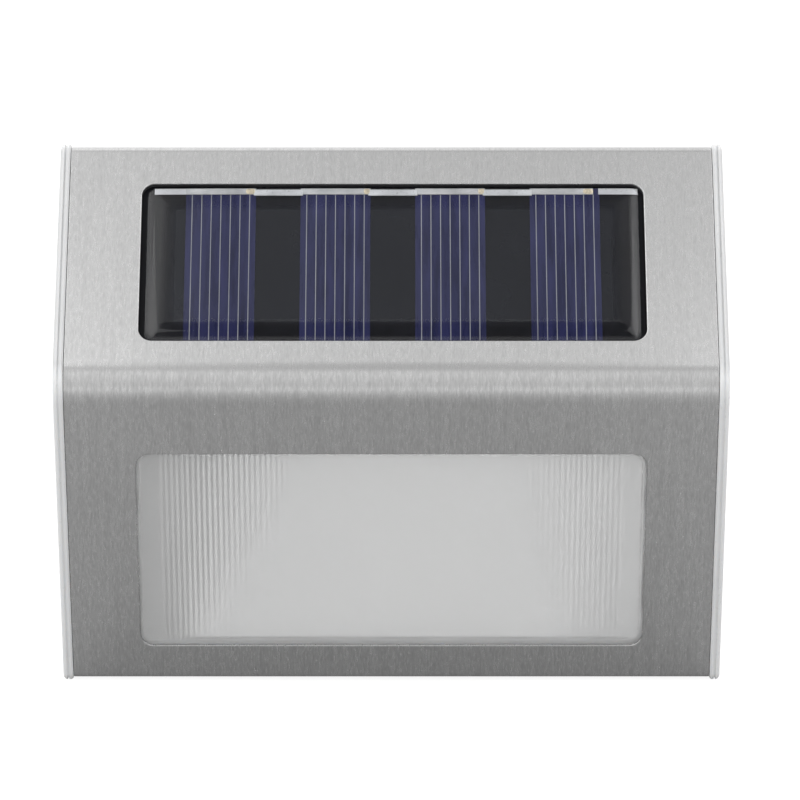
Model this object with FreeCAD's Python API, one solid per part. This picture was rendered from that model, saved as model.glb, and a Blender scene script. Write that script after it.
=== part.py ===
import FreeCAD, Part

import math
import os

from FreeCAD import Placement, Rotation, Vector

# Solar step light. X runs along the width, Y points back to the wall and Z points up.
# The origin is the middle of the rear face, which lies on the wall. Lengths are in millimetres.

# Overall form
overall_width = 118.0
upper_face_length = 47.8
lower_face_length = 61.15
top_flange_depth = 2.6403
upper_face_tilt = 41.0
lower_face_tilt = 18.0
nose_radius = 7.5
edge_bend_radius = 1.5
sharpest_bend_radius = 0.5
overrun = 1.0
round_end_share = 0.98
round_sides = 16

# Steel cover and its tape
cover_thickness = 0.5
cover_setback = 0.5
tape_thickness = 0.2
tape_end_inset = 9.0
tape_width = 2.4
window_corner_radius = 2.4
solar_window_side_margin = 14.5
solar_window_top_margin = 7.28
solar_window_above_nose = 8.49
solar_window_shift = 0.25
lens_window_side_margin = 14.1
lens_window_bottom_margin = 6.88
lens_window_below_nose = 14.52

# Side rims of the housing
rim_width = 1.9
rim_proud = 0.45
rim_gap = 0.1
rim_outer_rounding = 0.7
rim_inner_bevel = 0.3
rim_groove_width = 0.3
rim_groove_depth = 0.25
rim_groove_inset = 0.75

# Housing walls
housing_wall = 1.6
side_wall = 2.6
rear_land_thickness = 2.2
rear_land_width = 2.2
rear_land_top_width = 5.6
fit_clearance = 0.15
pocket_floor = 1.4
pocket_wall = 1.4
floor_opening_width = 36.0
floor_opening_height = 24.0
floor_opening_radius = 2.0
lens_frame_depth = 0.8

# Solar panel
seal_thickness = 0.5
board_thickness = 1.2
board_margin = 1.5
board_corner_radius = 1.0
cell_thickness = 0.2
cell_gap = 7.93
cell_side_margin = 3.84
cell_count = 4
cell_end_gap = 0.1
ribbon_thickness = 0.15
ribbon_width = 1.3
ribbon_edge_gap = 0.22
bridge_drop = 0.25
bridge_overlap = 0.4
end_tab_length = 5.6
resin_side_gap = 0.9
resin_top_gap = 0.4
resin_bottom_gap = 0.3
resin_edge_height = 0.45
resin_height = 1.05
resin_slope_width = 3.4
resin_shoulder_radius = 9.5
resin_corner_radius = 1.5

# Lens
lens_flange = 2.0
lens_flange_thickness = 1.2
lens_body_inset = 0.6
lens_body_thickness = 0.5
lens_rib_pitch = 0.95
lens_rib_depth = 0.25
lens_plain_margin = 3.2

# Light chamber, light board and light-emitting diodes
chamber_wall = 1.2
chamber_side_gap = 0.5
chamber_top_below_nose = 10.8
chamber_above_bottom = 6.557
chamber_back_from_wall = 9.0
chamber_bend_share = 0.5686
chamber_bend_radius = 12.0
chamber_corner_radius = 1.5
led_board_length = 62.0
led_board_depth = 10.0
led_board_thickness = 1.0
led_board_from_wall = 14.0
led_size = 3.5
led_height = 1.6
led_pitch = 20.0
led_count = 3
led_hole_gap = 0.3
led_well_top_share = 0.5
led_well_mouth_share = 0.75
led_well_depth_share = 0.33

# Battery and its cradle
battery_length = 50.5
battery_diameter = 14.5
sleeve_thickness = 0.15
battery_cap_length = 1.3
battery_cap_diameter = 5.5
battery_from_wall = 12.5
battery_above_nose = 3.3
cradle_gap = 0.2
cradle_wall = 1.2
cradle_arm_length = 3.5
cradle_ear_length = 7.0
cradle_ear_height = 8.0
cradle_ear_thickness = 2.0
contact_plate_thickness = 0.5
contact_plate_width = 11.0
contact_tail_width = 3.0
contact_tail_reach = 2.6
spring_length = 3.5
spring_wire = 0.6
spring_large_radius = 4.4
spring_small_radius = 2.4
spring_turns = 3
spring_turn_sides = 16
spring_wire_sides = 6

# Control board and what stands on it
control_board_width = 48.0
control_board_height = 10.0
control_board_thickness = 1.6
control_board_from_wall = 6.6
control_board_above_nose = 13.2
chip_length = 5.0
chip_width = 4.0
chip_height = 1.5
inductor_diameter = 3.0
inductor_length = 7.0
inductor_flange_share = 0.2
inductor_waist_share = 0.8
inductor_shift = 8.5
capacitor_diameter = 3.2
capacitor_height = 4.0
capacitor_shift = 11.5
part_row_above_edge = 2.4

# Slide switch
switch_above_edge = 5.0
switch_length = 8.6
switch_height = 4.4
switch_depth = 3.6
switch_shell_wall = 0.3
switch_base_thickness = 0.9
switch_pin_count = 3
switch_pin_pitch = 2.5
switch_pin_size = 0.4
switch_pin_reach = 1.0
knob_travel = 2.0
knob_size = 2.0
knob_reach = 2.1
slider_length = 3.6
slider_thickness = 1.1
moving_gap = 0.35

# Back plate, gasket and keyholes
plate_thickness = 2.0
plate_edge_gap = 0.2
plate_corner_radius = 3.0
gasket_thickness = 0.8
gasket_width = 1.8
keyhole_spacing_share = 0.64407
keyhole_above_nose = 19.5
keyhole_slot_width = 4.2
keyhole_head_diameter = 8.4
keyhole_travel = 7.0
keyhole_cup_depth = 3.4
keyhole_cup_wall = 1.2
keyhole_cup_gap = 0.4
finger_well_length = 10.0
finger_well_height = 6.0
finger_well_depth = 0.8
finger_well_radius = 1.5
press_rib_thickness = 1.4
press_rib_spacing = 60.0
press_rib_end_gap = 4.0
cross_rib_height = 2.0
cross_rib_thickness = 1.2
cross_rib_count = 3

# Screws and their bosses
case_screw_side_inset = 8.0
case_screw_below_top = 14.075
case_screw_above_bottom = 10.657
case_screw_diameter = 2.2
case_screw_length = 6.0
case_head_diameter = 4.6
case_head_height = 1.4
head_recess = 0.1
case_boss_diameter = 5.8
inner_screw_diameter = 1.8
inner_screw_length = 3.6
inner_head_diameter = 3.4
inner_head_height = 1.2
inner_boss_diameter = 5.0
board_screw_spacing = 38.0
board_screw_above_edge = 7.2
cradle_screw_length = 7.0
light_screw_inset = 3.0
light_boss_length = 3.2
screw_hole_gap = 0.1
driver_slot_width = 0.5
driver_slot_depth = 0.6
driver_slot_share = 0.33
head_straight_share = 0.6
head_top_share = 0.78

# Wires
wire_diameter = 1.0
wire_sides = 8
mitred_corners = 1
wire_arc_share = 0.45
solar_lead_x = 31.0
solar_lead_up_face = 24.0
solar_lead_drop = 3.2
solar_pad_x = 22.0
lead_rise = 4.1
battery_pad_x = 18.0
battery_pad_above_edge = 1.8
solar_pad_above_edge = 4.8
light_pad_x = 6.0
light_pad_above_edge = 4.8
light_lead_forward = 10.5
light_lead_front_above_nose = 1.0
light_lead_turn_forward = 8.1
light_lead_turn_above_nose = 9.2

# Worked out from the sizes above
half_width = overall_width / 2
cover_half_width = half_width - rim_width
rim_inner_x = cover_half_width + rim_gap
cavity_half_width = half_width - side_wall
upper_angle = math.radians(upper_face_tilt)
lower_angle = math.radians(lower_face_tilt)
nose_to_wall = upper_face_length * math.sin(upper_angle) + top_flange_depth
rise_to_top = upper_face_length * math.cos(upper_angle)
drop_to_bottom = lower_face_length * math.cos(lower_angle)
nose_z = (drop_to_bottom - rise_to_top) / 2
top_z = nose_z + rise_to_top
bottom_z = nose_z - drop_to_bottom
housing_inset = cover_thickness + tape_thickness
cavity_inset = housing_inset + housing_wall
board_front = -cover_thickness - seal_thickness
board_back = board_front - board_thickness
floor_back = board_back - pocket_floor
lens_front = -cover_thickness
lens_step = lens_front - lens_flange_thickness
lens_frame_back = -cavity_inset - lens_frame_depth
plate_front_y = -plate_thickness
land_front_y = plate_front_y - gasket_thickness
land_back_y = land_front_y - rear_land_thickness
upper_place = Placement(Vector(0, -nose_to_wall, nose_z), Rotation(Vector(1, 0, 0), 90 - upper_face_tilt))
lower_place = Placement(Vector(0, -nose_to_wall, nose_z), Rotation(Vector(1, 0, 0), 90 + lower_face_tilt))


# Point at which a line through the upper face, moved inward, meets a height.
def upper_line_y(inset, height):
    return -nose_to_wall + (inset + (height - nose_z) * math.sin(upper_angle)) / math.cos(upper_angle)


# Point at which a line through the lower face, moved inward, meets a height.
def lower_line_y(inset, height):
    return -nose_to_wall + (inset - (height - nose_z) * math.sin(lower_angle)) / math.cos(lower_angle)


# Corner at the nose of the outline that lies inward of the cover's outer face.
def nose_corner(inset):
    reach = inset / math.cos((upper_angle + lower_angle) / 2)
    lean = (lower_angle - upper_angle) / 2
    return Vector(0, -nose_to_wall + reach * math.cos(lean), nose_z + reach * math.sin(lean))


# Tangent points and middle of the arc that starts one reach before a corner.
def arc_at_corner(before, corner, after, reach):
    to_before = (before - corner).normalize()
    to_after = (after - corner).normalize()
    half_angle = to_before.getAngle(to_after) / 2
    radius = reach * math.tan(half_angle)
    middle_way = (to_before + to_after).normalize()
    middle = corner + middle_way * (radius / math.sin(half_angle) - radius)
    return corner + to_before * reach, middle, corner + to_after * reach


# Distance from a corner to the tangent points of the arc with a given radius.
def tangent_reach(before, corner, after, radius):
    half_angle = (before - corner).getAngle(after - corner) / 2
    return radius / math.tan(half_angle)


# Closed outline through the points, with each corner rounded by its radius.
def rounded_wire(points, radii):
    corners = []
    for index, corner in enumerate(points):
        before = points[index - 1]
        after = points[(index + 1) % len(points)]
        if radii[index] > 0:
            reach = tangent_reach(before, corner, after, radii[index])
            corners.append(arc_at_corner(before, corner, after, reach))
        else:
            corners.append((corner, None, corner))
    edges = []
    for index, (start, middle, end) in enumerate(corners):
        if middle is not None:
            edges.append(Part.Arc(start, middle, end).toShape())
        following = corners[(index + 1) % len(corners)][0]
        edges.append(Part.LineSegment(end, following).toShape())
    return Part.Wire(edges)


# Solid with an outline in the side view, between two places along the width.
def across(wire, left, right):
    face = Part.Face(wire)
    face.translate(Vector(left, 0, 0))
    return face.extrude(Vector(right - left, 0, 0))


# Outline of the cover in the side view, moved inward and closed at the back.
def cover_outline(inset, back):
    top = top_z - inset
    bottom = bottom_z + inset
    bend = max(edge_bend_radius - inset, sharpest_bend_radius)
    points = [
        Vector(0, back, top),
        Vector(0, upper_line_y(inset, top), top),
        nose_corner(inset),
        Vector(0, lower_line_y(inset, bottom), bottom),
        Vector(0, back, bottom),
    ]
    return rounded_wire(points, [0, bend, max(nose_radius - inset, sharpest_bend_radius), bend, 0])


# Box from its two opposite corners.
def box(left, right, front, back, low, high):
    return Part.makeBox(right - left, back - front, high - low, Vector(left, front, low))


# Block with rounded corners that stands on the XY plane of its own frame.
def rounded_block(centre_x, centre_y, width, height, radius, low, high):
    left = centre_x - width / 2
    right = centre_x + width / 2
    front = centre_y - height / 2
    back = centre_y + height / 2
    points = [
        Vector(left, front, low),
        Vector(right, front, low),
        Vector(right, back, low),
        Vector(left, back, low),
    ]
    face = Part.Face(rounded_wire(points, [radius] * len(points)))
    return face.extrude(Vector(0, 0, high - low))


# Plate with rounded corners that faces the wall, between two distances from it.
def wall_plate(centre_x, centre_z, width, height, radius, front, back):
    block = rounded_block(centre_x, centre_z, width, height, radius, -back, -front)
    block.Placement = Placement(Vector(0, 0, 0), Rotation(Vector(1, 0, 0), 90))
    return block


# Rod that lies along Y.
def rod_y(diameter, x, z, front, back):
    return Part.makeCylinder(diameter / 2, back - front, Vector(x, front, z), Vector(0, 1, 0))


# Outline with many equal sides round a line along Y.
def ring_y(diameter, x, z, y):
    corners = []
    for index in range(round_sides + 1):
        angle = 2 * math.pi * index / round_sides
        corners.append(Vector(x + diameter / 2 * math.cos(angle), y, z + diameter / 2 * math.sin(angle)))
    return Part.makePolygon(corners)


# Many-sided post along Y, for round details that nothing shows.
def post_y(diameter, x, z, front, back):
    return Part.Face(ring_y(diameter, x, z, front)).extrude(Vector(0, back - front, 0))


# Many-sided solid along Z between two outlines, the lower one first.
def upright_taper(low_diameter, high_diameter, x, y, low, high):
    taper = Part.makeLoft([ring_y(low_diameter, x, -y, low), ring_y(high_diameter, x, -y, high)], True, True)
    taper.rotate(Vector(0, 0, 0), Vector(1, 0, 0), 90)
    return taper


# Many-sided post along Z, for round details that nothing shows.
def post_z(diameter, x, y, low, high):
    return upright_taper(diameter, diameter, x, y, low, high)


# Rod that lies along X.
def rod_x(diameter, y, z, left, right):
    return Part.makeCylinder(diameter / 2, right - left, Vector(left, y, z), Vector(1, 0, 0))


# Shape built in the frame of a face, moved to that face.
def placed(shape, place):
    shape = shape.copy()
    shape.Placement = place.multiply(shape.Placement)
    return shape


# All shapes as one solid.
def joined(shapes):
    result = shapes[0].multiFuse(shapes[1:])
    return result.removeSplitter()


# Both mirror images of a shape, left and right of the middle.
def mirrored_pair(shape):
    return [shape, shape.mirror(Vector(0, 0, 0), Vector(1, 0, 0))]


# Writes one node, made of one solid or of a group of separate solids.
def write_node(name, shapes):
    solids = []
    for shape in shapes:
        solids.extend(shape.Solids)
    body = solids[0] if len(solids) == 1 else Part.makeCompound(solids)
    body.exportStep(f"parts/{name}.step")


# Places that several pieces share
solar_window_width = overall_width - 2 * solar_window_side_margin
solar_window_height = upper_face_length - solar_window_above_nose - solar_window_top_margin
lens_window_width = overall_width - 2 * lens_window_side_margin
lens_window_height = lower_face_length - lens_window_below_nose - lens_window_bottom_margin
solar_window_up = solar_window_above_nose + solar_window_height / 2
lens_window_up = -lens_window_below_nose - lens_window_height / 2
board_width = solar_window_width + 2 * board_margin
board_height = solar_window_height + 2 * board_margin
resin_width = solar_window_width - 2 * resin_side_gap
resin_low = solar_window_above_nose + resin_bottom_gap
resin_high = solar_window_above_nose + solar_window_height - resin_top_gap
resin_up = (resin_low + resin_high) / 2
cell_pitch = (solar_window_width - 2 * cell_side_margin) / cell_count
cell_width = cell_pitch - cell_gap
cell_front = board_front + cell_thickness
cell_low = resin_low + cell_end_gap
cell_high = resin_high - ribbon_edge_gap
lens_width = lens_window_width + 2 * lens_flange
lens_height = lens_window_height + 2 * lens_flange
lens_body_width = lens_window_width - 2 * lens_body_inset
lens_body_height = lens_window_height - 2 * lens_body_inset
plate_half_width = cavity_half_width - plate_edge_gap - fit_clearance
cavity_rear_height = (nose_to_wall * math.cos(upper_angle) - cavity_inset) / math.sin(upper_angle)
plate_top_z = nose_z + cavity_rear_height - rear_land_width
plate_bottom_z = bottom_z + cavity_inset + plate_edge_gap
battery_z = nose_z + battery_above_nose
battery_y = -battery_from_wall
cradle_inner_radius = battery_diameter / 2 + cradle_gap
cradle_outer_radius = cradle_inner_radius + cradle_wall
cradle_half_inner = (battery_length + spring_length + 2 * contact_plate_thickness) / 2
cradle_half_outer = cradle_half_inner + cradle_wall
battery_left = -cradle_half_inner + contact_plate_thickness + spring_length
battery_right = battery_left + battery_length
cradle_back_y = battery_y + cradle_arm_length
ear_back_y = battery_y
ear_front_y = ear_back_y - cradle_ear_thickness
cradle_screw_x = cradle_half_outer + cradle_ear_length / 2
board_rear_y = -control_board_from_wall
board_front_y = board_rear_y - control_board_thickness
board_low_z = nose_z + control_board_above_nose
board_high_z = board_low_z + control_board_height
part_row_z = board_low_z + part_row_above_edge
switch_z = board_low_z + switch_above_edge
switch_rear_y = board_rear_y + switch_depth
chamber_width = lens_window_width + 2 * chamber_side_gap
chamber_top_z = nose_z - chamber_top_below_nose
chamber_bottom_z = bottom_z + chamber_above_bottom
chamber_bend_z = chamber_top_z + (chamber_bottom_z - chamber_top_z) * chamber_bend_share
chamber_back_y = -chamber_back_from_wall
led_board_low_z = chamber_top_z + chamber_wall
led_board_high_z = led_board_low_z + led_board_thickness
led_y = -led_board_from_wall - led_board_depth / 2
light_screw_x = led_board_length / 2 - light_screw_inset
keyhole_spacing = overall_width * keyhole_spacing_share
keyhole_z = nose_z + keyhole_above_nose
keyhole_head_z = keyhole_z - keyhole_travel
case_screw_places = [
    (side * (half_width - case_screw_side_inset), height)
    for side in (-1, 1)
    for height in (top_z - case_screw_below_top, bottom_z + case_screw_above_bottom)
]
pad_height = gasket_thickness - screw_hole_gap


# Centre of one solar cell along the width.
def cell_centre(index):
    return solar_window_shift + (index - (cell_count - 1) / 2) * cell_pitch


# Bent steel sheet: short top flange, upper face, nose, lower face and bottom flange.
def steel_cover():
    sheet = across(cover_outline(0, -cover_setback), -cover_half_width, cover_half_width)
    hollow = across(cover_outline(cover_thickness, overrun), -half_width, half_width)
    solar_window = rounded_block(
        solar_window_shift, solar_window_up, solar_window_width, solar_window_height,
        window_corner_radius, -cover_thickness - overrun, overrun,
    )
    lens_window = rounded_block(
        0, lens_window_up, lens_window_width, lens_window_height,
        window_corner_radius, -cover_thickness - overrun, overrun,
    )
    sheet = sheet.cut(hollow)
    return sheet.cut([placed(solar_window, upper_place), placed(lens_window, lower_place)])


# One strip of tape between the cover and the housing, in the frame of a face.
def tape_strip(centre_up, place):
    half = tape_width / 2
    half_length = half_width - tape_end_inset
    strip = box(
        -half_length, half_length, centre_up - half, centre_up + half,
        -housing_inset, -cover_thickness,
    )
    return placed(strip, place)


# Four strips of tape: above and below each window.
def cover_tape():
    nose_flat = nose_radius * math.tan((upper_angle + lower_angle) / 2)
    board_low = solar_window_above_nose - board_margin
    board_high = board_low + board_height
    lens_high = -lens_window_below_nose + lens_flange
    lens_low = lens_high - lens_height
    return [
        tape_strip((board_high + upper_face_length - edge_bend_radius) / 2, upper_place),
        tape_strip((nose_flat + board_low) / 2, upper_place),
        tape_strip((-nose_flat + lens_high) / 2, lower_place),
        tape_strip((lens_low - lower_face_length + edge_bend_radius) / 2, lower_place),
    ]


# Edges of a rim along one of its sides, apart from those on the wall.
def rim_edges(rim, place):
    edges = []
    for edge in rim.Edges:
        bounds = edge.BoundBox
        on_side = bounds.XLength < rim_gap and abs(bounds.Center.x - place) < rim_gap
        on_back = bounds.YMin > -rim_gap
        if on_side and not on_back:
            edges.append(edge)
    return edges


# Raised rim of one side wall: rounded outside, bevelled inside, with a shallow groove all along.
def side_rim():
    rim = across(cover_outline(-rim_proud, 0), rim_inner_x, half_width)
    rim = rim.makeFillet(rim_outer_rounding, rim_edges(rim, half_width))
    rim = rim.makeChamfer(rim_inner_bevel, rim_edges(rim, rim_inner_x))
    groove_left = half_width - rim_groove_inset - rim_groove_width
    ring = across(cover_outline(-rim_proud - overrun, overrun), groove_left, groove_left + rim_groove_width)
    core = across(cover_outline(-rim_proud + rim_groove_depth, 2 * overrun), rim_inner_x, half_width)
    return rim.cut(ring.cut(core))


# Posts inside the housing for every screw that goes in from the back.
def housing_posts():
    posts = []
    for x, z in case_screw_places:
        posts.append(post_y(case_boss_diameter, x, z, -nose_to_wall, land_front_y))
    for side in (-1, 1):
        board_screw_z = board_low_z + board_screw_above_edge
        x = side * board_screw_spacing / 2
        posts.append(post_y(inner_boss_diameter, x, board_screw_z, -nose_to_wall, board_front_y))
        x = side * cradle_screw_x
        posts.append(post_y(inner_boss_diameter, x, battery_z, -nose_to_wall, ear_front_y))
    return posts


# Holes for the screws in the ends of the posts.
def housing_pilot_holes():
    holes = []
    diameter = case_screw_diameter + screw_hole_gap
    for x, z in case_screw_places:
        deep = -head_recess - case_head_height - case_screw_length - screw_hole_gap
        holes.append(post_y(diameter, x, z, deep, 0))
    diameter = inner_screw_diameter + screw_hole_gap
    for side in (-1, 1):
        board_screw_z = board_low_z + board_screw_above_edge
        x = side * board_screw_spacing / 2
        deep = board_rear_y - inner_screw_length - screw_hole_gap
        holes.append(post_y(diameter, x, board_screw_z, deep, board_rear_y))
        x = side * cradle_screw_x
        deep = ear_back_y - cradle_screw_length - screw_hole_gap
        holes.append(post_y(diameter, x, battery_z, deep, ear_back_y))
    return holes


# Tray behind the solar panel and frame behind the lens, each in the frame of its face.
def housing_frames():
    around = fit_clearance + pocket_wall
    across_half = board_width / 2 + around
    upright_half = board_height / 2 + around
    tray = box(
        solar_window_shift - across_half, solar_window_shift + across_half,
        solar_window_up - upright_half, solar_window_up + upright_half,
        floor_back, -housing_inset,
    )
    across_half = lens_width / 2 + around
    upright_half = lens_height / 2 + around
    lens_frame = box(
        -across_half, across_half,
        lens_window_up - upright_half, lens_window_up + upright_half,
        lens_frame_back, -housing_inset,
    )
    return [placed(tray, upper_place), placed(lens_frame, lower_place)]


# Pocket for the panel with its open floor, and rebate and opening for the lens.
def housing_pockets():
    panel_pocket = rounded_block(
        solar_window_shift, solar_window_up,
        board_width + 2 * fit_clearance, board_height + 2 * fit_clearance,
        board_corner_radius, board_back, overrun,
    )
    floor_opening = rounded_block(
        0, solar_window_up, floor_opening_width, floor_opening_height,
        floor_opening_radius, floor_back - overrun, board_back + overrun,
    )
    lens_rebate = rounded_block(
        0, lens_window_up, lens_width + 2 * fit_clearance, lens_height + 2 * fit_clearance,
        window_corner_radius, lens_step, overrun,
    )
    lens_opening = rounded_block(
        0, lens_window_up, lens_body_width + 2 * fit_clearance, lens_body_height + 2 * fit_clearance,
        window_corner_radius, lens_frame_back - overrun, lens_step + overrun,
    )
    wire_holes = [
        Part.makeCylinder(
            wire_diameter, pocket_floor + 2 * overrun,
            Vector(side * solar_lead_x, solar_lead_up_face, floor_back - overrun), Vector(0, 0, 1),
        )
        for side in (-1, 1)
    ]
    upper = [panel_pocket, floor_opening] + wire_holes
    lower = [lens_rebate, lens_opening]
    return [placed(shape, upper_place) for shape in upper] + [placed(shape, lower_place) for shape in lower]


# Milky moulded body: front wall under the sheet, side walls with proud rims, rear land.
def front_housing():
    shell = across(cover_outline(housing_inset, 0), -rim_inner_x, rim_inner_x)
    cavity = across(cover_outline(cavity_inset, overrun), -cavity_half_width, cavity_half_width)
    rear = box(-half_width, half_width, land_back_y, 2 * overrun, bottom_z, top_z)
    shell = shell.cut(cavity.cut(rear))
    plate_height = plate_top_z - plate_bottom_z
    land_opening = wall_plate(
        0, (plate_top_z - rear_land_top_width + plate_bottom_z + rear_land_width) / 2,
        2 * (plate_half_width - rear_land_width), plate_height - rear_land_top_width - rear_land_width,
        plate_corner_radius, land_back_y - overrun, overrun,
    )
    plate_pocket = wall_plate(
        0, (plate_top_z + plate_bottom_z) / 2, 2 * (plate_half_width + fit_clearance),
        plate_height + 2 * fit_clearance, plate_corner_radius, land_front_y, overrun,
    )
    shell = shell.cut([land_opening, plate_pocket])
    within = across(cover_outline(housing_inset + housing_wall / 2, 0), -cavity_half_width, cavity_half_width)
    within = within.cut(box(-half_width, half_width, land_front_y, overrun, bottom_z, top_z))
    inner_forms = [shape.common(within) for shape in housing_posts() + housing_frames()]
    rims = mirrored_pair(side_rim())
    body = joined([shell] + inner_forms + rims)
    return body.cut(housing_pockets() + housing_pilot_holes())


# Foam ring between the panel board and the cover.
def panel_seal():
    outer = rounded_block(
        solar_window_shift, solar_window_up, board_width, board_height,
        board_corner_radius, board_front, -cover_thickness,
    )
    inner = rounded_block(
        solar_window_shift, solar_window_up, solar_window_width, solar_window_height,
        window_corner_radius, board_front - overrun, overrun,
    )
    return placed(outer.cut(inner), upper_place)


# Board that carries the cells.
def panel_board():
    board = rounded_block(
        solar_window_shift, solar_window_up, board_width, board_height,
        board_corner_radius, board_back, board_front,
    )
    return placed(board, upper_place)


# Cell strips, in the frame of the upper face.
def cell_strips():
    return [
        box(
            cell_centre(index) - cell_width / 2, cell_centre(index) + cell_width / 2,
            cell_low, cell_high, board_front, cell_front,
        )
        for index in range(cell_count)
    ]


# Solder ribbons on the cells, bridges between them and the two end tabs, soldered into one.
def cell_ribbons():
    high = cell_high
    low = high - ribbon_width
    front = cell_front + ribbon_thickness
    strips = []
    for index in range(cell_count):
        left = cell_centre(index) - cell_width / 2
        right = left + cell_width
        strips.append(box(left, right, low, high, cell_front, front))
        if index + 1 < cell_count:
            start = right - bridge_overlap
            end = right + cell_pitch - cell_width + bridge_overlap
            strips.append(box(start, end, low - bridge_drop, high - bridge_drop, cell_front, front))
    first_left = cell_centre(0) - cell_width / 2
    last_right = cell_centre(cell_count - 1) + cell_width / 2
    strips.append(box(first_left - end_tab_length, first_left, low, high, cell_front, front))
    strips.append(box(last_right, last_right + end_tab_length, low, high, cell_front, front))
    return joined(strips)


# Outline of the resin dome from one edge to the other, with rounded shoulders.
def dome_outline(low, high):
    top = board_front + resin_height
    shoulder = board_front + resin_edge_height
    points = [
        Vector(low, 0, board_front),
        Vector(low, 0, shoulder),
        Vector(low + resin_slope_width / 2, 0, top),
        Vector(high - resin_slope_width / 2, 0, top),
        Vector(high, 0, shoulder),
        Vector(high, 0, board_front),
    ]
    return rounded_wire(points, [0, 0, resin_shoulder_radius, resin_shoulder_radius, 0, 0])


# Clear resin dome, cast over the cells and ribbons.
def panel_resin():
    left = solar_window_shift - resin_width / 2
    height = resin_high - resin_low
    block = rounded_block(
        solar_window_shift, resin_up, resin_width, height,
        resin_corner_radius, board_front, board_front + resin_height,
    )
    along_width = Part.Face(dome_outline(left, left + resin_width))
    along_width.translate(Vector(0, resin_low, 0))
    along_height = Part.Face(dome_outline(resin_low, resin_high))
    along_height.rotate(Vector(0, 0, 0), Vector(0, 0, 1), 90)
    along_height.translate(Vector(left, 0, 0))
    dome = block.common(along_width.extrude(Vector(0, height, 0)))
    dome = dome.common(along_height.extrude(Vector(resin_width, 0, 0)))
    return placed(dome.cut(cell_strips() + [cell_ribbons()]), upper_place)


# Clear lens: flat flange under the cover, body in the opening, fine prism ribs on the inside.
def diffuser_lens():
    flange = rounded_block(
        0, lens_window_up, lens_width, lens_height, window_corner_radius, lens_step, lens_front,
    )
    body_back = lens_step - lens_body_thickness
    body = rounded_block(
        0, lens_window_up, lens_body_width, lens_body_height, window_corner_radius, body_back, lens_step,
    )
    ribbed_width = lens_body_width - 2 * lens_plain_margin
    rib_count = int(ribbed_width / lens_rib_pitch)
    low = lens_window_up - lens_body_height / 2 + lens_body_inset
    first = -rib_count * lens_rib_pitch / 2
    last = first + rib_count * lens_rib_pitch
    inside = body_back + lens_body_thickness / 2
    edges = []
    for index in range(rib_count):
        start = first + index * lens_rib_pitch
        end = start + lens_rib_pitch
        crest = Vector((start + end) / 2, low, body_back - lens_rib_depth)
        edges.append(Part.LineSegment(Vector(start, low, body_back), crest).toShape())
        edges.append(Part.LineSegment(crest, Vector(end, low, body_back)).toShape())
    edges.append(Part.LineSegment(Vector(last, low, body_back), Vector(last, low, inside)).toShape())
    edges.append(Part.LineSegment(Vector(last, low, inside), Vector(first, low, inside)).toShape())
    edges.append(Part.LineSegment(Vector(first, low, inside), Vector(first, low, body_back)).toShape())
    ribs = Part.Face(Part.Wire(edges)).extrude(Vector(0, lens_body_height - 2 * lens_body_inset, 0))
    return placed(joined([flange, body, ribs]), lower_place)


# Outline of the light chamber in the side view, grown outward by a wall.
def chamber_outline(grow, front_inset):
    top = chamber_top_z + grow
    bottom = chamber_bottom_z - grow
    back = chamber_back_y + grow
    points = [
        Vector(0, lower_line_y(front_inset, top), top),
        Vector(0, back, top),
        Vector(0, back, chamber_bend_z),
        Vector(0, lower_line_y(front_inset, bottom) + chamber_wall, bottom),
        Vector(0, lower_line_y(front_inset, bottom), bottom),
    ]
    return rounded_wire(points, [0, chamber_corner_radius, chamber_bend_radius, 0, 0])


# White light chamber behind the lens: shelf, curved back, end walls and screw bosses.
def reflector():
    half_inner = chamber_width / 2
    half_outer = half_inner + chamber_wall
    frame_inset = -lens_frame_back
    outer = across(chamber_outline(chamber_wall, frame_inset), -half_outer, half_outer)
    inner = across(chamber_outline(0, frame_inset - overrun), -half_inner, half_inner)
    bosses = []
    holes = []
    low = chamber_top_z - light_boss_length
    for side in (-1, 1):
        bosses.append(post_z(inner_boss_diameter, side * light_screw_x, led_y, low, led_board_low_z))
        diameter = inner_screw_diameter + screw_hole_gap
        deep = led_board_high_z - inner_screw_length - screw_hole_gap
        holes.append(post_z(diameter, side * light_screw_x, led_y, deep, led_board_high_z))
    hole_half = led_size / 2 + led_hole_gap
    for index in range(led_count):
        x = (index - (led_count - 1) / 2) * led_pitch
        holes.append(box(
            x - hole_half, x + hole_half, led_y - hole_half, led_y + hole_half,
            low, led_board_low_z,
        ))
    return joined([outer.cut(inner)] + bosses).cut(holes)


# Strip board on the shelf of the light chamber, with its screw holes.
def led_board():
    half = led_board_length / 2
    board = box(
        -half, half, led_y - led_board_depth / 2, led_y + led_board_depth / 2,
        led_board_low_z, led_board_high_z,
    )
    diameter = inner_screw_diameter + screw_hole_gap
    holes = [
        post_z(diameter, side * light_screw_x, led_y, led_board_low_z - overrun, led_board_high_z + overrun)
        for side in (-1, 1)
    ]
    return board.cut(holes)


# Light-emitting diodes under the strip board, shining down into the chamber.
def leds():
    half = led_size / 2
    low = led_board_low_z - led_height
    packages = []
    for index in range(led_count):
        x = (index - (led_count - 1) / 2) * led_pitch
        package = box(x - half, x + half, led_y - half, led_y + half, low, led_board_low_z)
        well = upright_taper(
            led_size * led_well_mouth_share, led_size * led_well_top_share,
            x, led_y, low, low + led_height * led_well_depth_share,
        )
        packages.append(package.cut(well))
    return packages


# Space of the battery in the side view, as a trough that is open towards the wall.
def trough(radius, left, right, back):
    bore = rod_x(2 * radius, battery_y, battery_z, left, right)
    mouth = box(left, right, battery_y, back, battery_z - radius, battery_z + radius)
    return joined([bore, mouth])


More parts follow.
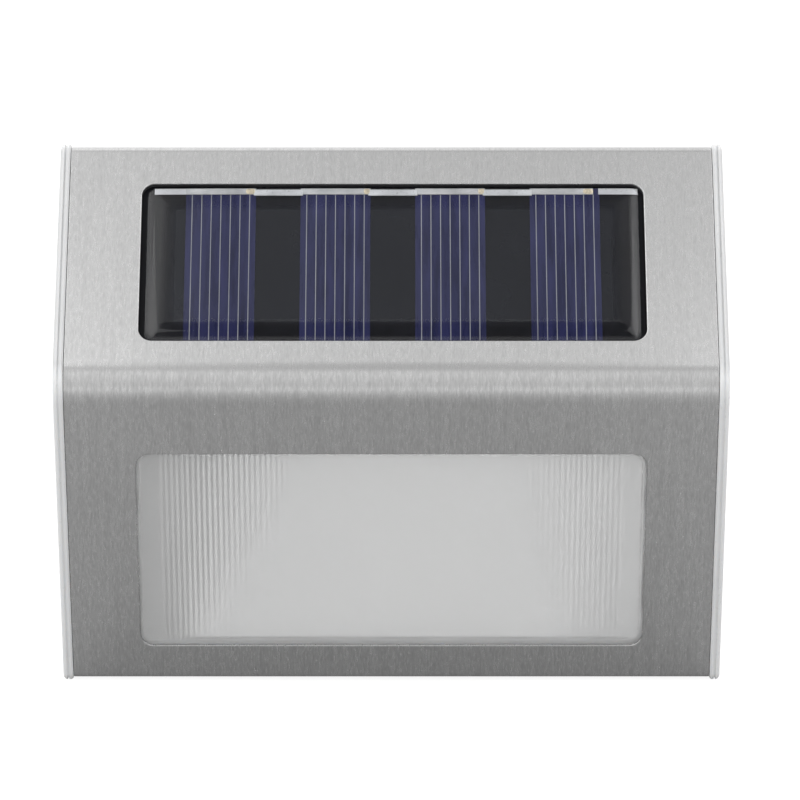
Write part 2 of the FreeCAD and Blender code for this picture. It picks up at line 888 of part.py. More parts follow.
# Cradle for the battery with end walls, screw ears and notches for the contact tails.
def battery_cradle():
    body = trough(cradle_outer_radius, -cradle_half_outer, cradle_half_outer, cradle_back_y)
    ears = [
        wall_plate(
            0, battery_z, 2 * (cradle_half_outer + cradle_ear_length), cradle_ear_height,
            cradle_wall, ear_front_y, ear_back_y,
        )
    ]
    hollow = trough(cradle_inner_radius, -cradle_half_inner, cradle_half_inner, cradle_back_y + overrun)
    diameter = inner_screw_diameter + screw_hole_gap
    cuts = [hollow]
    notch_half = contact_tail_width / 2 + fit_clearance
    for side in (-1, 1):
        x = side * cradle_screw_x
        cuts.append(post_y(diameter, x, battery_z, ear_front_y - overrun, ear_back_y + overrun))
        inner = side * cradle_half_inner
        notch_left = min(inner, inner - side * 2 * contact_plate_thickness)
        cuts.append(box(
            notch_left, notch_left + 2 * contact_plate_thickness,
            battery_y - notch_half, battery_y + notch_half,
            battery_z, battery_z + cradle_outer_radius + overrun,
        ))
    return joined([body] + ears).cut(cuts)


# Metal can of the cell with its positive cap.
def battery_can():
    diameter = battery_diameter - 2 * sleeve_thickness
    can = rod_x(diameter, battery_y, battery_z, battery_left, battery_right - battery_cap_length)
    cap = rod_x(battery_cap_diameter, battery_y, battery_z, battery_left, battery_right)
    return joined([can, cap])


# Shrink sleeve round the can.
def battery_sleeve():
    right = battery_right - battery_cap_length
    inner_diameter = battery_diameter - 2 * sleeve_thickness
    outer = rod_x(battery_diameter, battery_y, battery_z, battery_left, right)
    inner = rod_x(inner_diameter, battery_y, battery_z, battery_left - overrun, right + overrun)
    return outer.cut(inner)


# Contact plates at both ends of the cell, each with a tail for its wire.
def battery_plates():
    plates = []
    tail_top = battery_z + cradle_outer_radius + contact_tail_reach
    half = contact_plate_width / 2
    tail_half = contact_tail_width / 2
    for left in (-cradle_half_inner, cradle_half_inner - contact_plate_thickness):
        right = left + contact_plate_thickness
        plate = box(left, right, battery_y - half, battery_y + half, battery_z - half, battery_z + half)
        reach = rod_x(2 * cradle_inner_radius - 2 * cradle_gap, battery_y, battery_z, left, right)
        tail = box(left, right, battery_y - tail_half, battery_y + tail_half, battery_z, tail_top)
        plates.append(joined([plate.common(reach), tail]))
    return plates


# Many-sided wire along a route of short straight runs, mitred where they meet.
def faceted_wire(route, diameter, sides):
    direction = route[1] - route[0]
    turn = Rotation(Vector(0, 0, 1), direction)
    corners = []
    for index in range(sides + 1):
        angle = 2 * math.pi * index / sides
        corners.append(route[0] + turn.multVec(Vector(math.cos(angle), math.sin(angle), 0)) * (diameter / 2))
    return Part.makePolygon(route).makePipeShell([Part.makePolygon(corners)], True, False, mitred_corners)


# Conical contact spring between the left plate and the cell.
def battery_spring():
    steps = spring_turns * spring_turn_sides
    length = spring_length - spring_wire
    left = -cradle_half_inner + contact_plate_thickness + spring_wire / 2
    route = []
    for index in range(steps + 1):
        share = index / steps
        angle = share * spring_turns * 2 * math.pi
        radius = spring_large_radius + (spring_small_radius - spring_large_radius) * share
        route.append(Vector(
            left + length * share, battery_y + radius * math.cos(angle), battery_z + radius * math.sin(angle),
        ))
    return faceted_wire(route, spring_wire, spring_wire_sides)


# Control board with its screw holes.
def control_board():
    half = control_board_width / 2
    board = box(-half, half, board_front_y, board_rear_y, board_low_z, board_high_z)
    diameter = inner_screw_diameter + screw_hole_gap
    holes = [
        post_y(
            diameter, side * board_screw_spacing / 2, board_low_z + board_screw_above_edge,
            board_front_y - overrun, board_rear_y + overrun,
        )
        for side in (-1, 1)
    ]
    return board.cut(holes + switch_pins())


# Charge controller chip on the front of the control board.
def control_chip():
    return box(
        -chip_length / 2, chip_length / 2, board_front_y - chip_height, board_front_y,
        part_row_z - chip_width / 2, part_row_z + chip_width / 2,
    )


# Barrel coil that lies on the front of the control board.
def charge_inductor():
    y = board_front_y - inductor_diameter / 2
    left = -inductor_shift - inductor_length
    right = left + inductor_length
    flange = inductor_length * inductor_flange_share
    barrel = rod_x(inductor_diameter, y, part_row_z, left, right)
    waist = rod_x(inductor_diameter, y, part_row_z, left + flange, right - flange)
    slim = rod_x(inductor_diameter * inductor_waist_share, y, part_row_z, left + flange, right - flange)
    return barrel.cut(waist.cut(slim))


# Standing capacitor on the front of the control board.
def smoothing_capacitor():
    front = board_front_y - capacitor_height
    return rod_y(capacitor_diameter, capacitor_shift, part_row_z, front, board_front_y)


# Metal frame of the slide switch, open at the board and slotted for the knob.
def switch_shell():
    half = switch_length / 2
    tall = switch_height / 2
    wall = switch_shell_wall
    frame = box(-half, half, board_rear_y, switch_rear_y, switch_z - tall, switch_z + tall)
    hollow = box(
        -half + wall, half - wall, board_rear_y - overrun, switch_rear_y - wall,
        switch_z - tall + wall, switch_z + tall - wall,
    )
    slot_half = (knob_travel + knob_size) / 2 + moving_gap
    slot_tall = knob_size / 2 + moving_gap
    slot = box(
        -slot_half, slot_half, switch_rear_y - wall - overrun, switch_rear_y + overrun,
        switch_z - slot_tall, switch_z + slot_tall,
    )
    return frame.cut([hollow, slot])


# Insulating base inside the switch frame.
def switch_base():
    half = switch_length / 2 - switch_shell_wall
    tall = switch_height / 2 - switch_shell_wall
    rear = board_rear_y + switch_base_thickness
    return box(-half, half, board_rear_y, rear, switch_z - tall, switch_z + tall)


# Three switch pins that pass through the board to its front.
def switch_pins():
    half = switch_pin_size / 2
    front = board_front_y - switch_pin_reach
    pins = []
    for index in range(switch_pin_count):
        x = (index - (switch_pin_count - 1) / 2) * switch_pin_pitch
        pins.append(box(x - half, x + half, front, board_rear_y, switch_z - half, switch_z + half))
    return pins


# Sliding knob, at its left end of travel: slider inside the frame and stem through the slots.
def switch_knob():
    x = -knob_travel / 2
    half = knob_size / 2
    slider_rear = switch_rear_y - switch_shell_wall - moving_gap
    tall = switch_height / 2 - switch_shell_wall - moving_gap
    slider = box(
        x - slider_length / 2, x + slider_length / 2,
        slider_rear - slider_thickness, slider_rear, switch_z - tall, switch_z + tall,
    )
    stem_front = slider_rear - slider_thickness / 2
    stem = box(x - half, x + half, stem_front, switch_rear_y + knob_reach, switch_z - half, switch_z + half)
    return joined([slider, stem])


# Slot with round ends that runs upward, in a plate that faces the wall.
def upright_slot(x, low_z, high_z, width, front, back):
    radius = width / 2 * round_end_share
    return wall_plate(x, (low_z + high_z) / 2, width, high_z - low_z + width, radius, front, back)


# Closed cup behind one keyhole, which takes the head of the wall screw.
def keyhole_cup(x):
    inner_width = keyhole_head_diameter + 2 * keyhole_cup_gap
    outer_width = inner_width + 2 * keyhole_cup_wall
    inner_front = plate_front_y - keyhole_cup_depth
    outer_front = inner_front - keyhole_cup_wall
    outer_back = plate_front_y + plate_thickness / 2
    outer = upright_slot(x, keyhole_head_z, keyhole_z, outer_width, outer_front, outer_back)
    inner = upright_slot(x, keyhole_head_z, keyhole_z, inner_width, inner_front, plate_front_y)
    head_hole = rod_y(keyhole_head_diameter, x, keyhole_head_z, plate_front_y - overrun, overrun)
    slot = upright_slot(x, keyhole_head_z, keyhole_z, keyhole_slot_width, plate_front_y - overrun, overrun)
    return outer, [inner, head_hole, slot]


# Ribs on the inside of the back plate: two that press on the chamber, and cross ribs.
def plate_ribs():
    low = chamber_bend_z + press_rib_end_gap
    high = chamber_top_z - press_rib_end_gap
    half = press_rib_thickness / 2
    ribs = []
    for side in (-1, 1):
        x = side * press_rib_spacing / 2
        ribs.append(box(x - half, x + half, chamber_back_y + chamber_wall, plate_front_y, low, high))
    span = press_rib_spacing / 2 + press_rib_end_gap
    for index in range(cross_rib_count):
        z = low + (index + 1 / 2) * (high - low) / cross_rib_count
        ribs.append(box(
            -span, span, plate_front_y - cross_rib_height, plate_front_y,
            z - cross_rib_thickness / 2, z + cross_rib_thickness / 2,
        ))
    return ribs


# Back plate: keyholes with cups, switch opening in a finger well, counterbored screw holes.
def back_plate():
    centre_z = (plate_top_z + plate_bottom_z) / 2
    height = plate_top_z - plate_bottom_z
    plate = wall_plate(0, centre_z, 2 * plate_half_width, height, plate_corner_radius, plate_front_y, 0)
    solids = [plate] + plate_ribs()
    cuts = []
    for side in (-1, 1):
        cup, cup_cuts = keyhole_cup(side * keyhole_spacing / 2)
        solids.append(cup)
        cuts.extend(cup_cuts)
    for x, z in case_screw_places:
        solids.append(post_y(case_boss_diameter, x, z, plate_front_y - pad_height, plate_front_y))
        head_seat = -case_head_height - head_recess
        cuts.append(rod_y(case_head_diameter + 2 * fit_clearance, x, z, head_seat, overrun))
        cuts.append(rod_y(case_screw_diameter + 2 * fit_clearance, x, z, plate_front_y - overrun, overrun))
    cuts.append(wall_plate(
        0, switch_z, finger_well_length, finger_well_height,
        finger_well_radius, -finger_well_depth, overrun,
    ))
    slot_half = (knob_travel + knob_size) / 2 + moving_gap
    slot_tall = knob_size / 2 + moving_gap
    cuts.append(box(
        -slot_half, slot_half, plate_front_y - overrun, overrun, switch_z - slot_tall, switch_z + slot_tall,
    ))
    return joined(solids).cut(cuts)


# Rubber ring between the back plate and the land of the housing.
def rear_gasket():
    centre_z = (plate_top_z + plate_bottom_z) / 2
    width = 2 * plate_half_width
    height = plate_top_z - plate_bottom_z
    outer = wall_plate(0, centre_z, width, height, plate_corner_radius, land_front_y, plate_front_y)
    inner = wall_plate(
        0, centre_z, width - 2 * gasket_width, height - 2 * gasket_width,
        plate_corner_radius, land_front_y - overrun, plate_front_y + overrun,
    )
    return outer.cut(inner)


# Screw along Y, driven from the wall side, with a tapered head and a cross slot.
def screw(diameter, length, head_diameter, head_height, seat_y, x, z):
    outlines = [
        ring_y(head_diameter, x, z, seat_y),
        ring_y(head_diameter, x, z, seat_y + head_height * head_straight_share),
        ring_y(head_diameter * head_top_share, x, z, seat_y + head_height),
    ]
    head = Part.makeLoft(outlines, True, True)
    shank = post_y(diameter, x, z, seat_y - length, seat_y)
    arm = head_diameter * driver_slot_share
    half = driver_slot_width / 2
    floor = seat_y + head_height - driver_slot_depth
    cross = [
        box(x - arm, x + arm, floor, seat_y + head_height + overrun, z - half, z + half),
        box(x - half, x + half, floor, seat_y + head_height + overrun, z - arm, z + arm),
    ]
    return joined([head, shank]).cut(cross)


# Four screws that hold the back plate.
def case_screws():
    seat_y = -case_head_height - head_recess
    return [
        screw(case_screw_diameter, case_screw_length, case_head_diameter, case_head_height, seat_y, x, z)
        for x, z in case_screw_places
    ]


# Six small screws: control board, cradle and light board.
def inner_screws():
    screws = []
    size = (inner_head_diameter, inner_head_height)
    for side in (-1, 1):
        z = board_low_z + board_screw_above_edge
        x = side * board_screw_spacing / 2
        screws.append(screw(inner_screw_diameter, inner_screw_length, *size, board_rear_y, x, z))
        x = side * cradle_screw_x
        screws.append(screw(inner_screw_diameter, cradle_screw_length, *size, ear_back_y, x, battery_z))
        upright = screw(inner_screw_diameter, inner_screw_length, *size, 0, 0, 0)
        upright.rotate(Vector(0, 0, 0), Vector(1, 0, 0), 90)
        upright.translate(Vector(side * light_screw_x, led_y, led_board_high_z))
        screws.append(upright)
    return screws


# Insulated wire along straight runs, eased by two short runs at every bend.
def lead(points):
    route = [points[0]]
    for before, corner, after in zip(points, points[1:], points[2:]):
        shorter = min((corner - before).Length, (after - corner).Length)
        route.extend(arc_at_corner(before, corner, after, shorter * wire_arc_share))
    return faceted_wire(route + [points[-1]], wire_diameter, wire_sides)


# The three wires on one side: panel, battery contact and light board to the control board.
def leads(side):
    solar_start = upper_place.multVec(Vector(side * solar_lead_x, solar_lead_up_face, board_back))
    turn_depth = board_back - solar_lead_drop
    solar_turn = upper_place.multVec(Vector(side * solar_lead_x, solar_lead_up_face, turn_depth))
    rise_y = board_front_y - lead_rise
    solar_z = board_low_z + solar_pad_above_edge
    battery_pad_z = board_low_z + battery_pad_above_edge
    light_pad_z = board_low_z + light_pad_above_edge
    tail_x = side * (cradle_half_inner - contact_plate_thickness)
    tail_z = battery_z + cradle_outer_radius + contact_tail_reach / 2
    solar = [
        solar_start,
        solar_turn,
        Vector(side * solar_pad_x, rise_y, solar_z),
        Vector(side * solar_pad_x, board_front_y, solar_z),
    ]
    battery = [
        Vector(tail_x, battery_y, tail_z),
        Vector(tail_x - side * lead_rise, battery_y, tail_z),
        Vector(side * battery_pad_x, rise_y, battery_pad_z),
        Vector(side * battery_pad_x, board_front_y, battery_pad_z),
    ]
    light_x = side * light_pad_x
    front_y = battery_y - light_lead_forward
    turn_y = battery_y - light_lead_turn_forward
    light = [
        Vector(light_x, front_y, led_board_high_z),
        Vector(light_x, front_y, nose_z + light_lead_front_above_nose),
        Vector(light_x, turn_y, nose_z + light_lead_turn_above_nose),
        Vector(light_x, rise_y, light_pad_z),
        Vector(light_x, board_front_y, light_pad_z),
    ]
    return [lead(solar), lead(battery), lead(light)]


os.makedirs("parts", exist_ok=True)
write_node("steel_cover", [steel_cover()])
write_node("cover_tape", cover_tape())
write_node("front_housing", [front_housing()])
write_node("panel_seal", [panel_seal()])
write_node("panel_board", [panel_board()])
write_node("solar_cells", [placed(strip, upper_place) for strip in cell_strips()])
write_node("cell_ribbons", [placed(cell_ribbons(), upper_place)])
write_node("panel_resin", [panel_resin()])
write_node("diffuser_lens", [diffuser_lens()])
write_node("reflector", [reflector()])
write_node("led_board", [led_board()])
write_node("leds", leds())
write_node("battery_cradle", [battery_cradle()])
write_node("battery_can", [battery_can()])
write_node("battery_sleeve", [battery_sleeve()])
write_node("battery_plates", battery_plates())
write_node("battery_spring", [battery_spring()])
write_node("control_board", [control_board()])
write_node("control_chip", [control_chip()])
write_node("charge_inductor", [charge_inductor()])
write_node("smoothing_capacitor", [smoothing_capacitor()])
write_node("switch_shell", [switch_shell()])
write_node("switch_base", [switch_base()])
write_node("switch_pins", switch_pins())
write_node("switch_knob", [switch_knob()])
write_node("back_plate", [back_plate()])
write_node("rear_gasket", [rear_gasket()])
write_node("case_screws", case_screws())
write_node("inner_screws", inner_screws())
write_node("red_leads", leads(1))
write_node("black_leads", leads(-1))
print("nose height", round(nose_z, 3), "top", round(top_z, 3), "bottom", round(bottom_z, 3))
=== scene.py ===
import bpy
import bmesh
import math
import numpy as np
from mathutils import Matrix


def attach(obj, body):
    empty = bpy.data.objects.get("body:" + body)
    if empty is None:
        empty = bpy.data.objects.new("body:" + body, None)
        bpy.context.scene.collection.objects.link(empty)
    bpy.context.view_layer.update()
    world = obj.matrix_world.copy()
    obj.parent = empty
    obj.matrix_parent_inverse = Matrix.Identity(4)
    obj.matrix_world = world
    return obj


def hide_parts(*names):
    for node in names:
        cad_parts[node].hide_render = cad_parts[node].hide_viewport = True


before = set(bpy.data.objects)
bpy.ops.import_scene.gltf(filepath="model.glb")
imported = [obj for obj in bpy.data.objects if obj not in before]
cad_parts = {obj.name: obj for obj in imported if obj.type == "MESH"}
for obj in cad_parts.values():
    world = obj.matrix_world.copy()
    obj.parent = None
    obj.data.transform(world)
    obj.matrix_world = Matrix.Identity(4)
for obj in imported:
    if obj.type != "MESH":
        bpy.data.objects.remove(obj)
bpy.context.view_layer.update()
print("frame loaded:", len(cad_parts), "nodes")

# ---- side view of the light: top flange, upper face, nose, lower face, bottom flange (metres, degrees)
sideView = {
    "upperFace": 0.0478, "lowerFace": 0.06115, "topFlange": 0.0026403,
    "upperTilt": 41.0, "lowerTilt": 18.0, "noseRadius": 0.0075, "edgeRadius": 0.0015,
}
upperTilt = math.radians(sideView["upperTilt"])
lowerTilt = math.radians(sideView["lowerTilt"])
noseY = -(sideView["upperFace"] * math.sin(upperTilt) + sideView["topFlange"])
rise = sideView["upperFace"] * math.cos(upperTilt)
drop = sideView["lowerFace"] * math.cos(lowerTilt)
noseZ = (drop - rise) / 2


def onUpper(x, t, h):
    # x, y = noseY + t sin(tilt) - h cos(tilt), z = noseZ + t cos(tilt) + h sin(tilt)
    y = noseY + t * math.sin(upperTilt) - h * math.cos(upperTilt)
    z = noseZ + t * math.cos(upperTilt) + h * math.sin(upperTilt)
    return np.stack(np.broadcast_arrays(x, y, z), -1)


def onLower(x, t, h):
    # x, y = noseY - t sin(tilt) - h cos(tilt), z = noseZ + t cos(tilt) - h sin(tilt), t is negative below the nose
    y = noseY - t * math.sin(lowerTilt) - h * math.cos(lowerTilt)
    z = noseZ + t * math.cos(lowerTilt) - h * math.sin(lowerTilt)
    return np.stack(np.broadcast_arrays(x, y, z), -1)


def gridFaces(rows, columns, wrapRows=False, wrapColumns=False, start=0):
    # quad (i, j) = points (i, j), (i + 1, j), (i + 1, j + 1), (i, j + 1) of a rows x columns grid
    i, j = np.meshgrid(np.arange(rows - (not wrapRows)), np.arange(columns - (not wrapColumns)), indexing="ij")
    nextI, nextJ = (i + 1) % rows, (j + 1) % columns
    corners = [i * columns + j, nextI * columns + j, nextI * columns + nextJ, i * columns + nextJ]
    return start + np.stack(corners, -1).reshape(-1, 4)


mergeDistance = {"made": 1e-7, "copied": 2e-7}  # doubles closer than this are one point
sharpAngle = {"usual": 40.0, "steel": 80.0, "bar": 60.0, "dome": 50.0, "lens": 35.0}


def makePiece(name, points, faces, uv=None, closed=True, sharp=sharpAngle["usual"]):
    # points n x 3, faces m x 4 (or a list of index lists), uv n x 2; doubles are merged, a closed shell faces outward
    mesh = bpy.data.meshes.new(name)
    faceLists = faces.tolist() if isinstance(faces, np.ndarray) else faces
    mesh.from_pydata(points.reshape(-1, 3).tolist(), [], faceLists)
    if uv is not None:
        layer = mesh.uv_layers.new(name="surface")
        order = np.concatenate([np.asarray(face) for face in faceLists])
        layer.data.foreach_set("uv", uv.reshape(-1, 2)[order].astype(np.float32).ravel())
    work = bmesh.new()
    work.from_mesh(mesh)
    bmesh.ops.remove_doubles(work, verts=work.verts, dist=mergeDistance["made"])
    if closed:
        bmesh.ops.recalc_face_normals(work, faces=work.faces)
    work.to_mesh(mesh)
    work.free()
    mesh.shade_smooth()
    mesh.set_sharp_from_angle(angle=math.radians(sharp))
    piece = bpy.data.objects.new(name, mesh)
    bpy.context.scene.collection.objects.link(piece)
    return piece


def addBevel(piece, width, segments=2, angle=50.0):
    bevel = piece.modifiers.new("edges", "BEVEL")
    bevel.width = width
    bevel.segments = segments
    bevel.limit_method = "ANGLE"
    bevel.angle_limit = math.radians(angle)
    bevel.harden_normals = True


def fit(piece, body, slotName, finish, *nodes):
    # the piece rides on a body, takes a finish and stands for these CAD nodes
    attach(piece, body)
    piece.data.materials.clear()
    piece.data.materials.append(finish)
    if nodes:
        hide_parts(*nodes)


# ---- finishes
def startMaterial(name):
    material = bpy.data.materials.new(name)
    material.use_nodes = True
    nodes, links = material.node_tree.nodes, material.node_tree.links
    nodes.clear()
    output = nodes.new("ShaderNodeOutputMaterial")
    shader = nodes.new("ShaderNodeBsdfPrincipled")
    links.new(shader.outputs["BSDF"], output.inputs["Surface"])
    return material, nodes, links, shader, output


def objectPlace(nodes):
    return nodes.new("ShaderNodeTexCoord").outputs["Object"]


def addAxes(nodes, links, vector):
    axes = nodes.new("ShaderNodeSeparateXYZ")
    links.new(vector, axes.inputs["Vector"])
    return axes.outputs["X"], axes.outputs["Y"], axes.outputs["Z"]


def addMath(nodes, links, operation, *values):
    # a number is set on its socket, anything else is linked to it
    node = nodes.new("ShaderNodeMath")
    node.operation = operation
    for index, value in enumerate(values):
        if isinstance(value, float):
            node.inputs[index].default_value = value
        else:
            links.new(value, node.inputs[index])
    return node.outputs["Value"]


def addVectorMath(nodes, links, operation, vector, constant=None, scale=None):
    # constant = the second vector, scale = a linked factor, where the operation takes one
    node = nodes.new("ShaderNodeVectorMath")
    node.operation = operation
    links.new(vector, node.inputs[0])
    if constant is not None:
        node.inputs[1].default_value = constant
    if scale is not None:
        links.new(scale, node.inputs["Scale"])
    return node.outputs["Value" if operation in ("DOT_PRODUCT", "LENGTH") else "Vector"]


def addMixShader(nodes, links, share, first, second):
    mix = nodes.new("ShaderNodeMixShader")
    for socket, value in zip(mix.inputs, (share, first, second)):
        links.new(value, socket)
    return mix.outputs["Shader"]


def addNoise(nodes, links, scale, detail=4.0, roughness=0.55, stretch=(1.0, 1.0, 1.0)):
    # noise over Object coordinates, stretched along each axis
    mapping = nodes.new("ShaderNodeMapping")
    mapping.inputs["Scale"].default_value = stretch
    noise = nodes.new("ShaderNodeTexNoise")
    noise.inputs["Scale"].default_value = scale
    noise.inputs["Detail"].default_value = detail
    noise.inputs["Roughness"].default_value = roughness
    links.new(objectPlace(nodes), mapping.inputs["Vector"])
    links.new(mapping.outputs["Vector"], noise.inputs["Vector"])
    return noise.outputs["Fac"]


def addRange(nodes, links, value, low, high, fromLow=0.3, fromHigh=0.7):
    # straight line from (fromLow, low) to (fromHigh, high), clamped
    spread = nodes.new("ShaderNodeMapRange")
    spread.inputs["From Min"].default_value = fromLow
    spread.inputs["From Max"].default_value = fromHigh
    spread.inputs["To Min"].default_value = low
    spread.inputs["To Max"].default_value = high
    links.new(value, spread.inputs["Value"])
    return spread.outputs["Result"]


def addColours(nodes, links, value, first, second, fromLow=0.3, fromHigh=0.7):
    # first where the value is fromLow, second where it is fromHigh
    ramp = nodes.new("ShaderNodeValToRGB")
    ramp.color_ramp.elements[0].position = fromLow
    ramp.color_ramp.elements[0].color = (*first, 1.0)
    ramp.color_ramp.elements[1].position = fromHigh
    ramp.color_ramp.elements[1].color = (*second, 1.0)
    links.new(value, ramp.inputs["Fac"])
    return ramp.outputs["Color"]


def addBump(nodes, links, shader, value, strength, distance):
    bump = nodes.new("ShaderNodeBump")
    bump.inputs["Strength"].default_value = strength
    bump.inputs["Distance"].default_value = distance
    links.new(value, bump.inputs["Height"])
    links.new(bump.outputs["Normal"], shader.inputs["Normal"])


def makeFinish(name, colour, shade, gloss, grainScale, extras=None):
    # mottled colour, uneven gloss and fine relief, each from noise of its own scale
    extras = extras or {}
    material, nodes, links, shader, _ = startMaterial(name)
    stretch = extras.get("stretch", (1.0, 1.0, 1.0))
    broad = addNoise(nodes, links, extras.get("patchScale", 90.0), stretch=stretch)
    fine = addNoise(nodes, links, grainScale, detail=3.0, stretch=stretch)
    links.new(addColours(nodes, links, broad, colour, shade), shader.inputs["Base Color"])
    links.new(addRange(nodes, links, fine, *gloss), shader.inputs["Roughness"])
    addBump(nodes, links, shader, fine, extras.get("relief", 0.3), extras.get("depth", 0.00002))
    for socket, value in extras.get("sockets", {}).items():
        shader.inputs[socket].default_value = value
    return material


looks = {  # colour, shade, gloss, grain scale, and what differs from makeFinish's usual values
    "housing": (
        (0.64, 0.645, 0.65), (0.68, 0.685, 0.69), (0.26, 0.38), 900.0,
        {"relief": 0.12,
         "sockets": {"Subsurface Weight": 0.25, "Subsurface Scale": 0.0012, "IOR": 1.49,
                     "Subsurface Radius": (1.0, 0.9, 0.8)}},
    ),
    "tape": ((0.82, 0.82, 0.78), (0.88, 0.87, 0.83), (0.5, 0.7), 1500.0),
    "seal": ((0.03, 0.03, 0.033), (0.048, 0.048, 0.052), (0.75, 0.95), 3500.0, {"relief": 0.8, "depth": 0.00006}),
    "gasket": ((0.02, 0.02, 0.02), (0.04, 0.04, 0.04), (0.55, 0.75), 1800.0),
    "panelBoard": (
        (0.003, 0.003, 0.004), (0.005, 0.005, 0.007), (0.36, 0.40), 2600.0,
        {"relief": 0.0, "sockets": {"Specular IOR Level": 0.08}},
    ),
    "reflector": ((0.97, 0.97, 0.968), (0.985, 0.985, 0.982), (0.35, 0.5), 1200.0, {"relief": 0.1}),
    "lightBoard": ((0.86, 0.87, 0.85), (0.92, 0.92, 0.90), (0.2, 0.32), 1400.0),
    "ledPackage": ((0.88, 0.87, 0.82), (0.93, 0.92, 0.88), (0.3, 0.45), 2500.0),
    "phosphor": ((0.86, 0.62, 0.10), (0.93, 0.74, 0.22), (0.2, 0.35), 6000.0, {"sockets": {"Coat Weight": 0.4}}),
    "blackPlastic": ((0.022, 0.022, 0.025), (0.04, 0.04, 0.043), (0.42, 0.6), 2200.0, {"relief": 0.35}),
    "cellCan": ((0.66, 0.66, 0.65), (0.74, 0.74, 0.73), (0.18, 0.3), 1500.0, {"sockets": {"Metallic": 1.0}}),
    "sleeve": ((0.02, 0.22, 0.09), (0.03, 0.30, 0.13), (0.2, 0.32), 900.0, {"sockets": {"Coat Weight": 0.3}}),
    "nickel": ((0.66, 0.64, 0.60), (0.74, 0.72, 0.68), (0.16, 0.3), 2400.0, {"sockets": {"Metallic": 1.0}}),
    "greenBoard": ((0.010, 0.12, 0.045), (0.016, 0.16, 0.06), (0.2, 0.34), 2600.0),
    "chip": ((0.014, 0.014, 0.014), (0.026, 0.026, 0.026), (0.5, 0.7), 5000.0),
    "ferrite": ((0.045, 0.045, 0.05), (0.075, 0.07, 0.07), (0.55, 0.75), 4000.0),
    "capacitor": ((0.02, 0.035, 0.12), (0.03, 0.05, 0.16), (0.2, 0.3), 3000.0),
    "phenolic": ((0.22, 0.10, 0.04), (0.32, 0.16, 0.07), (0.45, 0.6), 3200.0, {"stretch": (0.3, 1.0, 1.0)}),
    "backPlate": (
        (0.060, 0.060, 0.063), (0.074, 0.074, 0.078), (0.45, 0.62), 1700.0,
        {"relief": 0.45, "depth": 0.00004},
    ),
    "zinc": ((0.52, 0.53, 0.55), (0.68, 0.68, 0.69), (0.2, 0.36), 3000.0, {"sockets": {"Metallic": 1.0}}),
    "redWire": ((0.48, 0.012, 0.012), (0.58, 0.02, 0.02), (0.3, 0.42), 1500.0),
    "blackWire": ((0.016, 0.016, 0.016), (0.03, 0.03, 0.03), (0.3, 0.45), 1500.0),
    "solder": (
        (0.34, 0.345, 0.345), (0.48, 0.48, 0.475), (0.30, 0.45), 2600.0,
        {"patchScale": 420.0, "relief": 0.5, "depth": 0.00003,
         "sockets": {"Metallic": 0.5, "Specular IOR Level": 0.1}},
    ),
    "tab": (
        (0.42, 0.425, 0.43), (0.55, 0.555, 0.56), (0.25, 0.4), 2400.0,
        {"patchScale": 300.0, "relief": 0.3, "depth": 0.00002,
         "sockets": {"Metallic": 0.3, "Specular IOR Level": 0.1}},
    ),
    "flux": (
        (0.46, 0.40, 0.30), (0.66, 0.58, 0.42), (0.2, 0.35), 2600.0,
        {"patchScale": 900.0, "relief": 0.8, "depth": 0.00005,
         "sockets": {"Metallic": 0.3, "Specular IOR Level": 0.2}},
    ),
    "finger": (
        (0.20, 0.205, 0.22), (0.27, 0.275, 0.29), (0.35, 0.5), 5000.0,
        {"sockets": {"Specular IOR Level": 0.1}},
    ),
}
finishes = {name: makeFinish(name, *look) for name, look in looks.items()}

steelLook = {
    "dark": 0.44, "pale": 0.61, "roughLow": 0.25, "roughHigh": 0.32, "anisotropy": 0.35,
    "lineScale": 3600.0, "lineStretch": 0.19, "streakScale": 900.0, "streakStretch": 0.045, "streakShare": 0.22,
    "colourFrom": (0.36, 0.64), "relief": 0.20, "reliefDepth": 0.000012,
}


def makeSteel(look):
    # brushed sheet: fine lines across x that run up each face, broad soft streaks, gloss stretched across the lines
    material, nodes, links, shader, _ = startMaterial("brushedSteel")
    stretch = look["lineStretch"]
    lines = addNoise(nodes, links, look["lineScale"], detail=5.0, roughness=0.7, stretch=(1.0, stretch, stretch))
    stretch = look["streakStretch"]
    streaks = addNoise(nodes, links, look["streakScale"], detail=3.0, stretch=(1.0, stretch, stretch))
    both = nodes.new("ShaderNodeMix")
    both.data_type = "FLOAT"
    both.inputs["Factor"].default_value = look["streakShare"]
    links.new(lines, both.inputs["A"])
    links.new(streaks, both.inputs["B"])
    grain = both.outputs["Result"]
    colour = addColours(nodes, links, grain, (look["dark"],) * 3, (look["pale"],) * 3, *look["colourFrom"])
    links.new(colour, shader.inputs["Base Color"])
    links.new(addRange(nodes, links, grain, look["roughHigh"], look["roughLow"]), shader.inputs["Roughness"])
    addBump(nodes, links, shader, lines, look["relief"], look["reliefDepth"])
    tangent = nodes.new("ShaderNodeTangent")
    tangent.direction_type = "UV_MAP"
    tangent.uv_map = "surface"
    links.new(tangent.outputs["Tangent"], shader.inputs["Tangent"])
    shader.inputs["Metallic"].default_value = 1.0
    shader.inputs["Anisotropic"].default_value = look["anisotropy"]
    return material


# painted light on the rims of the lower face: their colour is raised by this gain
lowerRimPaintedLight = {"gain": 1.38, "height": (-0.0030, -0.0010)}


